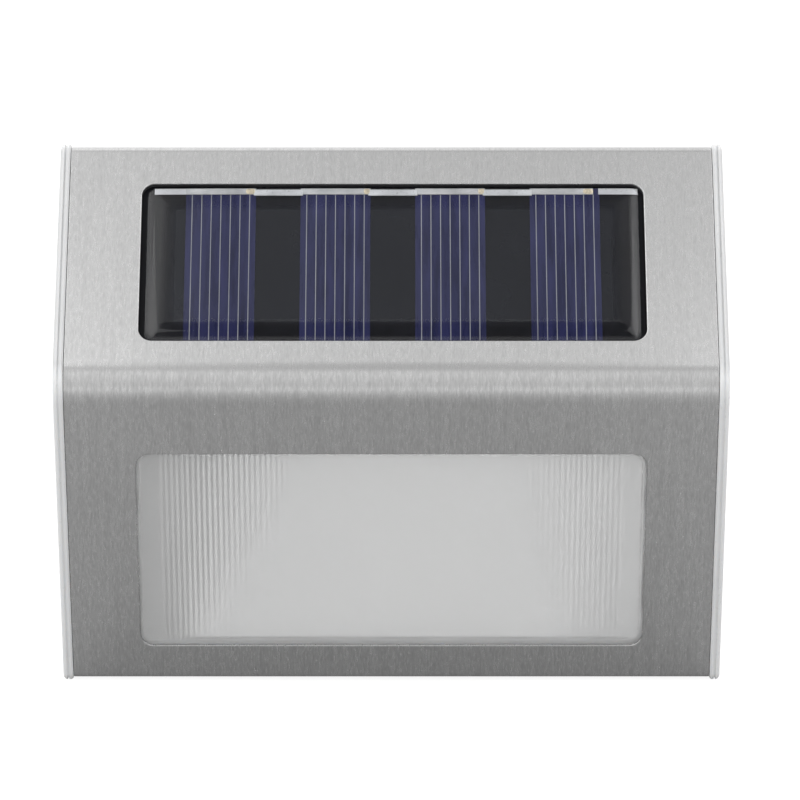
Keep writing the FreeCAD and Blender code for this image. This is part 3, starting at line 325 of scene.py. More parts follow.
def paintLightOnLowerRims(material, tone):
    # painted light: the rims of the lower face are painted paler than the milky plastic is, colour x gain where the
    # height over that face is near 0 or above; height = -(y - noseY) cos(tilt) - (z - noseZ) sin(tilt)
    nodes, links = material.node_tree.nodes, material.node_tree.links
    colourInput = nodes["Principled BSDF"].inputs["Base Color"]
    outward = (0.0, -math.cos(lowerTilt), -math.sin(lowerTilt))
    face = noseY * outward[1] + noseZ * outward[2]
    height = addVectorMath(nodes, links, "DOT_PRODUCT", objectPlace(nodes), constant=outward)
    low, high = tone["height"]
    gain = addRange(nodes, links, height, 1.0, tone["gain"], face + low, face + high)
    colour = addVectorMath(nodes, links, "SCALE", colourInput.links[0].from_socket, scale=gain)
    links.new(colour, colourInput)


glazing = {
    "across": ((-0.0407, -0.0380), (0.0388, 0.0412)),  # x over which the flat of the dome begins, and where it ends
    "up": ((0.0116, 0.0130), (0.0356, 0.0376)),  # the same up the face, from the nose
    "lean": (-0.0267, -0.0446, -0.0266),  # steepest slope to the left, the x where it is, and where it has run out
    "roughness": 0.03, "ior": 1.45, "finishes": ("panelBoard", "cell", "finger", "solder", "tab", "flux"),
}


def addFlatShare(nodes, links):
    # 1 under the flat middle of the dome and 0 under its slopes; up = (y - noseY) sin(tilt) + (z - noseZ) cos(tilt)
    place = objectPlace(nodes)
    upward = (0.0, math.sin(upperTilt), math.cos(upperTilt))
    nose = noseY * upward[1] + noseZ * upward[2]
    along = addVectorMath(nodes, links, "DOT_PRODUCT", place, constant=upward)
    x, _, _ = addAxes(nodes, links, place)
    parts = []
    for value, start, reach in ((x, 0.0, "across"), (along, nose, "up")):
        (first, full), (last, end) = glazing[reach]
        parts.append(addRange(nodes, links, value, 0.0, 1.0, first + start, full + start))
        parts.append(addRange(nodes, links, value, 1.0, 0.0, last + start, end + start))
    share = parts[0]
    for part in parts[1:]:
        share = addMath(nodes, links, "MULTIPLY", share, part)
    return share


def glaze(material):
    # the flat of the dome mirrors from what it lies on, as a coat, with far less noise than clear resin; the coat
    # faces as the dome does: the normal of the face, turned to the left by the slope of the dome's lean
    nodes, links = material.node_tree.nodes, material.node_tree.links
    shader = nodes["Principled BSDF"]
    shader.inputs["Coat Roughness"].default_value = glazing["roughness"]
    shader.inputs["Coat IOR"].default_value = glazing["ior"]
    links.new(addFlatShare(nodes, links), shader.inputs["Coat Weight"])
    x, _, _ = addAxes(nodes, links, objectPlace(nodes))
    steepest, begin, finish = glazing["lean"]
    normal = nodes.new("ShaderNodeCombineXYZ")
    links.new(addRange(nodes, links, x, steepest, 0.0, begin, finish), normal.inputs["X"])
    normal.inputs["Y"].default_value = -math.cos(upperTilt)
    normal.inputs["Z"].default_value = math.sin(upperTilt)
    links.new(addVectorMath(nodes, links, "NORMALIZE", normal.outputs["Vector"]), shader.inputs["Coat Normal"])


clearLooks = {
    "resin": {"tint": (0.97, 0.98, 1.0), "gloss": (0.02, 0.04), "ior": 1.45, "grainScale": 60.0, "relief": 0.01,
              "depth": 0.00005, "milk": 0.0, "bonded": True},
    "lens": {"tint": (0.995, 0.997, 0.997), "gloss": (0.05, 0.08), "ior": 1.49, "grainScale": 500.0, "relief": 0.04,
             "depth": 0.00002, "milk": 0.3, "bonded": False},
}


def makeClear(name, look):
    # clear plastic that lamps shine through: a glass shader, and a transparent one for rays from lamps; a bonded piece
    # is also passed from inside, since its underside touches what lies below, and in the flat of the dome
    material, nodes, links, shader, output = startMaterial(name)
    uneven = addNoise(nodes, links, look["grainScale"], detail=2.0)
    links.new(addRange(nodes, links, uneven, *look["gloss"]), shader.inputs["Roughness"])
    addBump(nodes, links, shader, uneven, look["relief"], look["depth"])
    shader.inputs["Base Color"].default_value = (*look["tint"], 1.0)
    shader.inputs["Transmission Weight"].default_value = 1.0 - look["milk"]
    shader.inputs["IOR"].default_value = look["ior"]
    passing = nodes.new("ShaderNodeBsdfTransparent")
    passing.inputs["Color"].default_value = (*look["tint"], 1.0)
    through = nodes.new("ShaderNodeLightPath").outputs["Is Shadow Ray"]
    if look["bonded"]:
        inside = nodes.new("ShaderNodeNewGeometry").outputs["Backfacing"]
        for share in (inside, addFlatShare(nodes, links)):
            through = addMath(nodes, links, "MAXIMUM", through, share)
    mixed = addMixShader(nodes, links, through, shader.outputs["BSDF"], passing.outputs["BSDF"])
    links.new(mixed, output.inputs["Surface"])
    return material


cellLook = {
    "deep": (0.006, 0.0075, 0.034), "bright": (0.019, 0.0205, 0.076), "grainScale": 700.0,
    "stretch": (1.0, 0.12, 0.12), "gloss": (0.22, 0.36), "relief": 0.15, "depth": 0.00002, "specular": 0.08,
}


def makeCell(look):
    # blue-violet silicon with faint upright streaks
    material, nodes, links, shader, _ = startMaterial("siliconCell")
    streaks = addNoise(nodes, links, look["grainScale"], stretch=look["stretch"])
    links.new(addColours(nodes, links, streaks, look["deep"], look["bright"]), shader.inputs["Base Color"])
    links.new(addRange(nodes, links, streaks, *look["gloss"]), shader.inputs["Roughness"])
    addBump(nodes, links, shader, streaks, look["relief"], look["depth"])
    shader.inputs["Specular IOR Level"].default_value = look["specular"]
    return material


# painted shade at the ends and the top of the reflector, and painted light as a faint glow
chamberShade = {
    "glow": 0.215, "left": -0.0392, "leftWidth": 0.019, "leftLean": 0.36, "leftTone": 0.35,
    "right": (0.028, 0.042), "rightTone": 0.73,
    "high": (-0.0105, -0.003), "highTone": 0.75,
}


def shadeChamber(material, shade):
    # painted shade: the chamber's colour darkens towards its left end, over a width that grows upward
    # (leftWidth + leftLean z), and a little to the right and the top; painted light: a faint glow stands for light
    # that bounces on and on between its white walls
    nodes, links = material.node_tree.nodes, material.node_tree.links
    shader = nodes["Principled BSDF"]
    x, _, z = addAxes(nodes, links, objectPlace(nodes))
    fromLeft = addRange(nodes, links, x, shade["leftTone"], 1.0, shade["left"], 0.0)
    fullAt = addMath(nodes, links, "MULTIPLY_ADD", z, shade["leftLean"], shade["left"] + shade["leftWidth"])
    links.new(fullAt, fromLeft.node.inputs["From Max"])
    fromRight = addRange(nodes, links, x, 1.0, shade["rightTone"], *shade["right"])
    fromTop = addRange(nodes, links, z, 1.0, shade["highTone"], *shade["high"])
    tone = addMath(nodes, links, "MULTIPLY", addMath(nodes, links, "MULTIPLY", fromLeft, fromRight), fromTop)
    colour = shader.inputs["Base Color"].links[0].from_socket
    links.new(addVectorMath(nodes, links, "SCALE", colour, scale=tone), shader.inputs["Base Color"])
    links.new(addMath(nodes, links, "MULTIPLY", tone, shade["glow"]), shader.inputs["Emission Strength"])
    shader.inputs["Emission Color"].default_value = (1.0, 1.0, 1.0, 1.0)


shadeChamber(finishes["reflector"], chamberShade)
finishes["steel"] = makeSteel(steelLook)
finishes |= {name: makeClear(name, look) for name, look in clearLooks.items()}
finishes["cell"] = makeCell(cellLook)
paintLightOnLowerRims(finishes["housing"], lowerRimPaintedLight)
for finishName in glazing["finishes"]:
    glaze(finishes[finishName])
print("finishes made:", len(finishes))

# ---- carried-over CAD nodes and their finishes
nodeFinish = {
    "cover_tape": "tape", "front_housing": "housing", "panel_seal": "seal", "panel_board": "panelBoard",
    "solar_cells": "cell", "cell_ribbons": "solder", "panel_resin": "resin", "diffuser_lens": "lens",
    "steel_cover": "steel", "reflector": "reflector", "led_board": "lightBoard", "leds": "ledPackage",
    "battery_cradle": "blackPlastic", "battery_can": "cellCan", "battery_sleeve": "sleeve", "battery_plates": "nickel",
    "battery_spring": "nickel", "control_board": "greenBoard", "control_chip": "chip", "charge_inductor": "ferrite",
    "smoothing_capacitor": "capacitor", "switch_shell": "nickel", "switch_base": "phenolic", "switch_pins": "nickel",
    "switch_knob": "blackPlastic", "back_plate": "backPlate", "rear_gasket": "gasket", "case_screws": "zinc",
    "inner_screws": "zinc", "red_leads": "redWire", "black_leads": "blackWire",
}
for nodeName, finishName in nodeFinish.items():
    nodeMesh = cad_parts[nodeName].data
    nodeMesh.materials.clear()
    nodeMesh.materials.append(finishes[finishName])

# ---- steel sheet
sheet = {
    "halfWidth": 0.05717, "back": -0.0005, "thickness": 0.0005, "edgeRounding": 0.0002, "windowRadius": 0.0024,
    "solarWindow": (0.00025, 0.0445, 0.00849, 0.04052),  # middle, half width, low and high above the nose
    "lensWindow": (0.0, 0.0449, 0.01452, 0.05427),  # middle, half width, near and far below the nose
    "cornerSteps": 12, "acrossSteps": 20, "downSteps": 8, "bendSteps": 28, "stripStride": 10, "edgeAngle": 60.0,
    "frameLevels": (0.0, 0.25, 1.0),  # loops from each window out to its frame's edge
    "sameEdge": 1e-9, "uvUnit": 0.118,
}
pathSteps = 121  # points on each arc of the side path


def sidePath(back, steps):
    # lines joined by arcs; heading turns from 180 to 360 degrees, outward normal = (sin heading, -cos heading)
    headings = np.radians([180.0, 270.0 - sideView["upperTilt"], 270.0 + sideView["lowerTilt"], 360.0])
    corners = np.array([
        [-sideView["topFlange"], noseZ + rise],
        [noseY, noseZ],
        [noseY + sideView["lowerFace"] * math.sin(lowerTilt), noseZ - drop],
    ])
    radii = [sideView["edgeRadius"], sideView["noseRadius"], sideView["edgeRadius"]]
    points, normals = [np.array([[back, noseZ + rise]])], [np.array([[0.0, 1.0]])]
    for corner, radius, before, after in zip(corners, radii, headings[:-1], headings[1:]):
        reach = radius * math.tan((after - before) / 2)
        begin = corner - reach * np.array([math.cos(before), math.sin(before)])
        centre = begin - radius * np.array([math.sin(before), -math.cos(before)])
        turn = np.linspace(before, after, steps)
        outward = np.stack([np.sin(turn), -np.cos(turn)], -1)
        points.append(centre + radius * outward)
        normals.append(outward)
    points.append(np.array([[back, noseZ - drop]]))
    normals.append(np.array([[0.0, -1.0]]))
    points, normals = np.concatenate(points), np.concatenate(normals)
    along = np.concatenate([[0.0], np.cumsum(np.linalg.norm(np.diff(points, axis=0), axis=1))])
    return points, normals, along


pathPoints, pathNormals, pathAlong = sidePath(sheet["back"], pathSteps)
noseReach = sideView["noseRadius"] * math.tan((upperTilt + lowerTilt) / 2)
noseStart = pathAlong[1 + pathSteps]  # where the nose arc begins and ends along the path
noseEnd = pathAlong[2 * pathSteps]


def bendSheet(x, s, depth=0.0):
    # (x, s) on the flat sheet goes to the bent one: path(s) - depth normal(s)
    y = np.interp(s, pathAlong, pathPoints[:, 0]) - depth * np.interp(s, pathAlong, pathNormals[:, 0])
    z = np.interp(s, pathAlong, pathPoints[:, 1]) - depth * np.interp(s, pathAlong, pathNormals[:, 1])
    return np.stack(np.broadcast_arrays(x, y, z), -1)


def roundedLoop(middle, halfWidth, low, high, radius, outer, steps, across, down):
    # inner loop: rectangle with round corners; outer loop: the matching points on a plain rectangle
    inner, around = [], []
    left, right, bottom, top = outer
    for signX, signS, first, last in ((1, 1, 0, 90), (-1, 1, 90, 0), (-1, -1, 0, 90), (1, -1, 90, 0)):
        centreX = middle + signX * (halfWidth - radius)
        centreS = (high - radius) if signS > 0 else (low + radius)
        angle = np.radians(np.linspace(first, last, steps + 1))
        share = np.degrees(angle) / 45
        cornerX, cornerS = (right if signX > 0 else left), (top if signS > 0 else bottom)
        inner.append(np.stack([
            centreX + signX * radius * np.cos(angle),
            centreS + signS * radius * np.sin(angle),
        ], -1))
        around.append(np.stack([
            centreX + (cornerX - centreX) * np.clip(2 - share, 0, 1),
            centreS + (cornerS - centreS) * np.clip(share, 0, 1),
        ], -1))
    loops = []
    for parts in (inner, around):
        pieces = []
        for index, part in enumerate(parts):
            following = parts[(index + 1) % 4]
            count = across if index % 2 == 0 else down
            between = np.linspace(part[-1], following[0], count + 1)[1:-1]
            pieces.extend([part, between])
        loops.append(np.concatenate(pieces))
    return loops


def steelSheet():
    # flat pattern of strips and window frames, bent along the side path, then thickened
    p = sheet
    half = p["halfWidth"]
    steps, across, down = p["cornerSteps"], p["acrossSteps"], p["downSteps"]
    middle, halfWindow, low, high = p["solarWindow"]
    upperTop, upperBottom = pathAlong[pathSteps], noseStart
    lowerTop, lowerBottom = noseEnd, pathAlong[1 + 2 * pathSteps]
    solar = roundedLoop(
        middle, halfWindow, noseStart + noseReach - high, noseStart + noseReach - low, p["windowRadius"],
        (-half, half, upperTop, upperBottom), steps, across, down,
    )
    middle, halfWindow, near, far = p["lensWindow"]
    lens = roundedLoop(
        middle, halfWindow, noseEnd - noseReach + near, noseEnd - noseReach + far, p["windowRadius"],
        (-half, half, lowerTop, lowerBottom), steps, across, down,
    )
    flat, faces, count = [], [], 0
    level = np.array(p["frameLevels"])[:, None, None]
    for inner, outer in (solar, lens):
        flat.append((inner + (outer - inner) * level).reshape(-1, 2))
        faces.append(gridFaces(len(level), len(inner), wrapColumns=True, start=count))
        count += len(level) * len(inner)

    def edgeAt(loop, s):
        # the x of the loop's points at s, each once, in order
        found = np.sort(loop[np.abs(loop[:, 1] - s) < p["sameEdge"]][:, 0])
        return found[np.concatenate([[True], np.diff(found) > p["sameEdge"]])]

    stride = p["stripStride"]
    topEdge, bottomEdge = edgeAt(solar[1], upperTop), edgeAt(lens[1], lowerBottom)
    strips = (  # rows down the strip, columns where it begins and where it ends
        (np.concatenate([[0.0], pathAlong[1:pathSteps + 1:stride]]), topEdge, topEdge),
        (np.linspace(noseStart, noseEnd, p["bendSteps"]),
         edgeAt(solar[1], upperBottom), edgeAt(lens[1], lowerTop)),
        (np.concatenate([pathAlong[1 + 2 * pathSteps:2 + 3 * pathSteps:stride], [pathAlong[-1]]]),
         bottomEdge, bottomEdge),
    )
    for down, begin, end in strips:
        share = ((down - down[0]) / (down[-1] - down[0]))[:, None]
        x = begin + (end - begin) * share
        flat.append(np.stack([x, np.broadcast_to(down[:, None], x.shape)], -1).reshape(-1, 2))
        faces.append(gridFaces(len(down), len(begin), start=count))
        count += x.size
    flat = np.concatenate(flat)
    points = bendSheet(flat[:, 0], flat[:, 1])
    uv = flat / p["uvUnit"]
    piece = makePiece("steelSheet", points, np.concatenate(faces), uv=uv, closed=False, sharp=sharpAngle["steel"])
    work = bmesh.new()
    work.from_mesh(piece.data)
    bmesh.ops.recalc_face_normals(work, faces=work.faces)
    work.normal_update()
    if sum(face.normal.y * face.calc_area() for face in work.faces) > 0:
        bmesh.ops.reverse_faces(work, faces=work.faces)
    work.to_mesh(piece.data)
    work.free()
    thicken = piece.modifiers.new("thickness", "SOLIDIFY")
    thicken.thickness = p["thickness"]
    thicken.offset = -1.0
    thicken.use_even_offset = True
    addBevel(piece, p["edgeRounding"], angle=p["edgeAngle"])
    fit(piece, "housing", "steel", finishes["steel"], "steel_cover")


steelSheet()
print("steel sheet made")

# ---- resin dome over the cells
dome = {
    "middle": 0.00025, "halfWidth": 0.0436, "low": 0.00879, "high": 0.04012, "radius": 0.0015, "base": -0.00099,
    "edgeHeight": 0.00030, "shoulderHeight": 0.00060, "shoulderWidth": 0.0046, "leanHeight": 0.00024,
    "leanReach": 0.018, "across": 44, "down": 8, "cornerSteps": 8,
    "roundLoss": 0.4, "roundUntil": 0.0035, "roundLeast": 0.0002,  # the corners get sharper inward
    "insets": (0.0, 0.00004, 0.00015, 0.0004, 0.0008, 0.0013, 0.0019, 0.0026, 0.0034, 0.0042, 0.0060, 0.0085, 0.0115,
               0.0152),
}


def resinDome():
    # loops of inset d; height = edge + shoulder sqrt(1 - (1 - d / w)^2) - lean (1 - u)^2,
    # where u is the share of the reach from the left
    p = dome

    def domeLoop(inset, radius):
        return roundedLoop(
            p["middle"], p["halfWidth"] - inset, p["low"] + inset, p["high"] - inset, radius, (0, 0, 0, 0),
            p["cornerSteps"], p["across"], p["down"],
        )[0]

    loops = []
    for inset in p["insets"]:
        radius = p["radius"] - p["roundLoss"] * inset if inset < p["roundUntil"] else p["roundLeast"]
        outline = domeLoop(inset, max(radius, p["roundLeast"]))
        near = 1 - min(inset / p["shoulderWidth"], 1.0)
        height = p["base"] + p["edgeHeight"] + p["shoulderHeight"] * math.sqrt(1 - near * near)
        fromLeft = outline[:, 0] - p["middle"] + p["halfWidth"]
        lean = p["leanHeight"] * (1 - np.minimum(fromLeft / p["leanReach"], 1.0)) ** 2
        loops.append(onUpper(outline[:, 0], outline[:, 1], height - lean))
    size = len(loops[0])
    foot = domeLoop(0.0, p["radius"])
    rings = [onUpper(foot[:, 0], foot[:, 1], np.full(size, p["base"]))] + loops
    faces = gridFaces(len(rings), size, wrapColumns=True).tolist()
    faces.append(list(range(size)))
    faces.append([(len(rings) - 1) * size + index for index in range(size)])
    piece = makePiece("resinDome", np.concatenate(rings), faces, sharp=sharpAngle["dome"])
    fit(piece, "housing", "resin", finishes["resin"], "panel_resin")


resinDome()

# ---- cells, their fingers and the soldered ribbons
cells = {
    "middle": 0.00025, "pitch": 0.02033, "width": 0.0124, "count": 4, "low": 0.00889, "high": 0.0399,
    "base": -0.001, "thickness": 0.0002, "edge": 0.00004,
    "fingerCount": 7, "fingerPitch": 0.0017, "fingerWidth": 0.00016, "fingerHeight": 0.00003,
    "ribbonHigh": 0.0399, "ribbonWidth": 0.0013, "ribbonThickness": 0.00013, "bridgeDrop": 0.00025,
    "bridgeOverlap": 0.0004, "bridgeLift": 0.00004, "ribbonEdge": 0.00006, "tabLength": 0.0056,
    "spotWide": 0.0009, "spotNarrow": 0.0006, "spotShare": 0.46, "spotRise": 0.00007, "spotSink": 0.00004,
    "spotSteps": 28, "spotSquare": 0.45,  # how far a spot's outline rounds a square out to its corners
    "spotLoops": (0.02, 0.35, 0.6, 0.8, 0.92, 1.0, 1.0), "lastShort": 0.0011, "lastLap": 0.0002, "lastTab": 0.0068,
}


def softBar(x0, x1, t0, t1, h0, h1, edge, place):
    # bar with its upper edges rounded: a profile of eight points across t, carried along x, closed at both ends
    round45 = edge * (1 - math.sqrt(0.5))
    t = np.array([t0, t0, t0 + round45, t0 + edge, t1 - edge, t1 - round45, t1, t1])
    h = np.array([h0, h1 - edge, h1 - round45, h1, h1, h1 - round45, h1 - edge, h0])
    x = np.array([x0, x0 + round45, x0 + edge, x1 - edge, x1 - round45, x1])
    lower = np.array([edge, round45, 0.0, 0.0, round45, edge])
    rows, columns = len(x), len(t)
    grid = place(x[:, None], np.broadcast_to(t, (rows, columns)), np.minimum(h[None, :], h1 - lower[:, None]))
    faces = gridFaces(rows, columns, wrapColumns=True).tolist()
    faces += [list(range(columns)), list(range((rows - 1) * columns, rows * columns))]
    return grid.reshape(-1, 3), faces


def gather(name, bars):
    # one piece from many (points, faces)
    points, faces, count = [], [], 0
    for barPoints, barFaces in bars:
        points.append(barPoints)
        faces += [[index + count for index in face] for face in barFaces]
        count += len(barPoints)
    return makePiece(name, np.concatenate(points), faces, sharp=sharpAngle["bar"])


def solderSpot(x, t, h, halfWidth, halfHeight, rise):
    # flat dome: (x, t) = centre + half sizes x v (cos u, sin u) / square, height = rise (1 - v^4), last loop sunk
    rows, columns = len(cells["spotLoops"]), cells["spotSteps"]
    u = np.linspace(0, 2 * math.pi, columns, endpoint=False)
    v = np.array(cells["spotLoops"])[:, None]
    sink = np.append(np.zeros(rows - 1), cells["spotSink"])[:, None]
    square = np.maximum(np.abs(np.cos(u)), np.abs(np.sin(u))) ** cells["spotSquare"]
    points = onUpper(
        x + halfWidth * v * np.cos(u) / square, t + halfHeight * v * np.sin(u) / square,
        h + rise * (1 - v ** 4) - sink + 0 * u,
    )
    faces = gridFaces(rows, columns, wrapColumns=True).tolist()
    return points.reshape(-1, 3), faces + [list(range(columns)), list(range((rows - 1) * columns, rows * columns))]


def cellRows():
    # each cell with its fingers and ribbon, bridges between neighbours, a spot of flux at the ribbon's right end
    p = cells
    wafers, fingers, ribbons, tabs, spots = [], [], [], [], []
    edge = p["ribbonEdge"]
    top = p["base"] + p["thickness"]
    ribbonTop = top + p["ribbonThickness"]
    high = p["ribbonHigh"]
    low = high - p["ribbonWidth"]
    for index in range(p["count"]):
        centre = p["middle"] + (index - (p["count"] - 1) / 2) * p["pitch"]
        left, right = centre - p["width"] / 2, centre + p["width"] / 2
        wafers.append(softBar(left, right, p["low"], p["high"], p["base"], top, p["edge"], onUpper))
        for finger in range(p["fingerCount"]):
            x = centre + (finger - (p["fingerCount"] - 1) / 2) * p["fingerPitch"]
            half = p["fingerWidth"] / 2
            fingers.append(softBar(
                x - half, x + half, p["low"] + half, low, top, top + p["fingerHeight"], half / 3, onUpper,
            ))
        ribbonEnd = right - p["lastShort"] if index == p["count"] - 1 else right
        ribbons.append(softBar(left, ribbonEnd, low, high, top, ribbonTop, edge, onUpper))
        wide = p["spotWide"] if index in (0, p["count"] - 1) else p["spotNarrow"]
        spots.append(solderSpot(
            ribbonEnd - wide, (low + high) / 2, ribbonTop, wide, p["ribbonWidth"] * p["spotShare"], p["spotRise"],
        ))
        if index + 1 < p["count"]:
            start, end = right - p["bridgeOverlap"], left + p["pitch"] + p["bridgeOverlap"]
            sink, bridgeTop = p["bridgeDrop"], ribbonTop + p["bridgeLift"]
            tabs.append(softBar(start, end, low - sink, high - sink, top, bridgeTop, edge, onUpper))
    first = p["middle"] - (p["count"] - 1) / 2 * p["pitch"] - p["width"] / 2
    last = 2 * p["middle"] - first
    tabs.append(softBar(first - p["tabLength"], first, low, high, top, ribbonTop, edge, onUpper))
    tabs.append(softBar(last - p["lastLap"], last + p["lastTab"], low, high, top, ribbonTop, edge, onUpper))
    fit(gather("cellWafers", wafers), "housing", "cells", finishes["cell"], "solar_cells")
    fit(gather("cellFingers", fingers), "housing", "solder", finishes["finger"])
    fit(gather("cellRibbons", ribbons), "housing", "solder", finishes["solder"], "cell_ribbons")
    fit(gather("cellTabs", tabs), "housing", "solder", finishes["tab"])
    fit(gather("solderSpots", spots), "housing", "solder", finishes["flux"])


cellRows()
print("solar panel made")

# ---- ribbed lens
lensPlate = {
    "halfWidth": 0.0469, "near": -0.01252, "far": -0.05627, "front": -0.0005, "flangeBack": -0.0017,
    "padHalfWidth": 0.04482, "padNear": -0.0146, "padFar": -0.05421, "padRadius": 0.0023, "padRise": 0.00014,
    "padSlope": 0.0006, "bodyHalfWidth": 0.0443, "bodyNear": -0.01512, "bodyFar": -0.05367, "bodyRadius": 0.0024,
    "bodyDepth": 0.0005, "bodySlope": 0.00022, "ribPitch": 0.00095, "ribCount": 86, "ribDepth": 0.00028,
    "ribSamples": 6, "border": 0.0056,  # near and far border that holds the soft steps, with finer rows
    "sideSteps": (18, 5, 12), "borderSteps": (10, 5, 15), "middleSteps": 6,
}


def insideRounded(x, t, halfWidth, near, far, radius):
    # distance inward from a rectangle with round corners, positive inside
    middle, halfHeight = (near + far) / 2, (near - far) / 2
    dx = np.abs(x) - (halfWidth - radius)
    dt = np.abs(t - middle) - (halfHeight - radius)
    outside = np.hypot(np.maximum(dx, 0), np.maximum(dt, 0)) + np.minimum(np.maximum(dx, dt), 0)
    return radius - outside


def ribbedLens():
    # one grid of (x, t) for both sides: front = pad with soft shoulders, back = flange, body and a cosine wave of ribs
    p = lensPlate
    half = p["ribCount"] * p["ribPitch"] / 2
    slopeFrom = p["bodyHalfWidth"] - p["bodySlope"]
    stops = (half, slopeFrom, p["bodyHalfWidth"], p["halfWidth"])
    edge = np.concatenate([
        np.linspace(first, last, steps)[1:] for first, last, steps in zip(stops, stops[1:], p["sideSteps"])
    ])
    ribs = np.linspace(-half, half, p["ribCount"] * p["ribSamples"] + 1)
    x = np.concatenate([-edge[::-1], ribs, edge])
    border, flange = p["border"], p["near"] - p["bodyNear"]
    stops = (0, flange, flange + p["bodySlope"], border)
    step = np.concatenate([[0.0]] + [
        np.linspace(first, last, steps)[1:] for first, last, steps in zip(stops, stops[1:], p["borderSteps"])
    ])
    middle = np.linspace(p["near"] - border, p["far"] + border, p["middleSteps"])[1:-1]
    t = np.concatenate([p["near"] - step, middle, (p["far"] + step)[::-1]])
    gridX, gridT = np.meshgrid(x, t, indexing="ij")
    inside = insideRounded(gridX, gridT, p["padHalfWidth"], p["padNear"], p["padFar"], p["padRadius"])
    share = np.clip(inside / p["padSlope"], 0, 1)
    front = p["front"] + p["padRise"] * np.sqrt(1 - (1 - share) ** 2)
    inside = insideRounded(gridX, gridT, p["bodyHalfWidth"], p["bodyNear"], p["bodyFar"], p["bodyRadius"])
    body = np.clip(inside / p["bodySlope"], 0, 1)
    wave = p["ribDepth"] * (0.5 - 0.5 * np.cos(2 * math.pi * (gridX + half) / p["ribPitch"]))
    back = p["flangeBack"] - body * (p["bodyDepth"] + np.where(np.abs(gridX) < half, wave, 0.0))
    rows, columns = gridX.shape
    points = np.concatenate([onLower(gridX, gridT, front).reshape(-1, 3), onLower(gridX, gridT, back).reshape(-1, 3)])
    frontFaces = gridFaces(rows, columns)
    backFaces = gridFaces(rows, columns, start=rows * columns)[:, ::-1]
    index = np.arange(rows * columns).reshape(rows, columns)
    rim = np.concatenate([index[:-1, 0], index[-1, :-1], index[1:, -1][::-1], index[0, 1:][::-1]])
    after = np.roll(rim, -1)
    wall = np.stack([rim, after, after + rows * columns, rim + rows * columns], -1)
    piece = makePiece("ribbedLens", points, np.concatenate([frontFaces, backFaces, wall]), sharp=sharpAngle["lens"])
    fit(piece, "housing", "lens", finishes["lens"], "diffuser_lens")


ribbedLens()
print("lens made")

# ---- phosphor in the wells of the light-emitting diodes
phosphor = {
    "pitch": 0.020, "count": 3, "y": -0.019, "z": 0.00034, "radius": 0.0012, "bulge": 0.00012, "depth": 0.0004,
    "steps": 32, "capSteps": 9,
}


def phosphorDots():
    # surface of revolution: r(v) and z(v) of a shallow cap with a short skirt
    p = phosphor
    v = np.linspace(0, 1, p["capSteps"])
    r = np.concatenate([p["radius"] * v, [p["radius"]]])
    z = np.concatenate([p["bulge"] * (1 - v * v), [-p["depth"]]])
    steps = p["steps"]
    angle = np.linspace(0, 2 * math.pi, steps, endpoint=False)
    points, faces = [], []
    for index in range(p["count"]):
        x = (index - (p["count"] - 1) / 2) * p["pitch"]
        ring = np.stack([
            x + r[:, None] * np.cos(angle), p["y"] + r[:, None] * np.sin(angle),
            np.broadcast_to(p["z"] - z[:, None], (len(r), steps)),
        ], -1)
        start = index * len(r) * steps
        points.append(ring.reshape(-1, 3))
        faces += gridFaces(len(r), steps, wrapColumns=True, start=start).tolist()
        faces.append([start + (len(r) - 1) * steps + step for step in range(steps)])
    fit(makePiece("phosphorDots", np.concatenate(points), faces), "housing", "led", finishes["phosphor"])


phosphorDots()

# ---- parts that show at the back: merged copies of their solids with eased edges
eased = {  # body, slot, finish, width of the easing
    "back_plate": ("housing", "plate", "backPlate", 0.00015),
    "switch_knob": ("switch_slider", "black_plastic", "blackPlastic", 0.00012),
    "case_screws": ("housing", "screw", "zinc", 0.00008),
}
flatAngle = 0.5  # degrees under which neighbouring facets of a copy are one face


def easedCopy(node, body, slotName, finishName, width):
    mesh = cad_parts[node].data.copy()
    mesh.name = node + "Eased"
    work = bmesh.new()
    work.from_mesh(mesh)
    bmesh.ops.remove_doubles(work, verts=work.verts, dist=mergeDistance["copied"])
    bmesh.ops.dissolve_limit(work, angle_limit=math.radians(flatAngle), verts=work.verts, edges=work.edges)
    work.to_mesh(mesh)
    work.free()
    mesh.shade_smooth()
    mesh.set_sharp_from_angle(angle=math.radians(sharpAngle["usual"]))
    piece = bpy.data.objects.new(node + "Eased", mesh)
    bpy.context.scene.collection.objects.link(piece)
    addBevel(piece, width)
    flatten = piece.modifiers.new("flatFaces", "WEIGHTED_NORMAL")
    flatten.keep_sharp = True
    fit(piece, body, slotName, finishes[finishName], node)


for nodeName, easing in eased.items():
    easedCopy(nodeName, *easing)
print("back made")

# ---- floor, light and camera
studio = {
    "floorZ": -0.0476, "floorHalf": 3.0, "floorPaint": 0.25,
    "glowSeen": 0.70,  # what the floor adds for the camera
    # painted shade around the object: no mirrored glow close to it, and a dip in the soft glow
    "glowMirrored": 0.55, "glowReach": (0.11, 0.40),  # what it adds for gloss and glass, and over which distance
    "glowSoft": 0.20, "glowStretch": (1.0, 0.3, 1.0),  # what it adds for every ray, with y drawn in,
    "glowDip": (0.02, 0.09, 0.70, 1.04),  # times 0.70 within the first distance and 1.04 beyond the second
    "tentTone": 1.08, "lowTone": 0.80, "lowFrom": (0.0, 0.40), "topTone": 0.83, "topFrom": (0.90, 0.93),
    "overTone": 0.45, "overFrom": (0.957, 0.985), "topLean": (-0.05, 0.06), "topLeanTone": 0.80,
    "sideTone": (0.87, 1.7), "sideFrom": ((0.05, 0.19), (0.21, 0.30)), "sideEnd": (0.36, 0.55), "sideUp": (0.5, 0.75),
    "backTone": 0.15, "backFacing": (-0.16, -0.04), "cameraTone": 0.13, "cameraLow": (0.62, 0.76),
    "cameraHigh": (0.925, 0.941), "cameraSide": (0.08, 0.22), "cameraFront": (-0.2, 0.0),
}
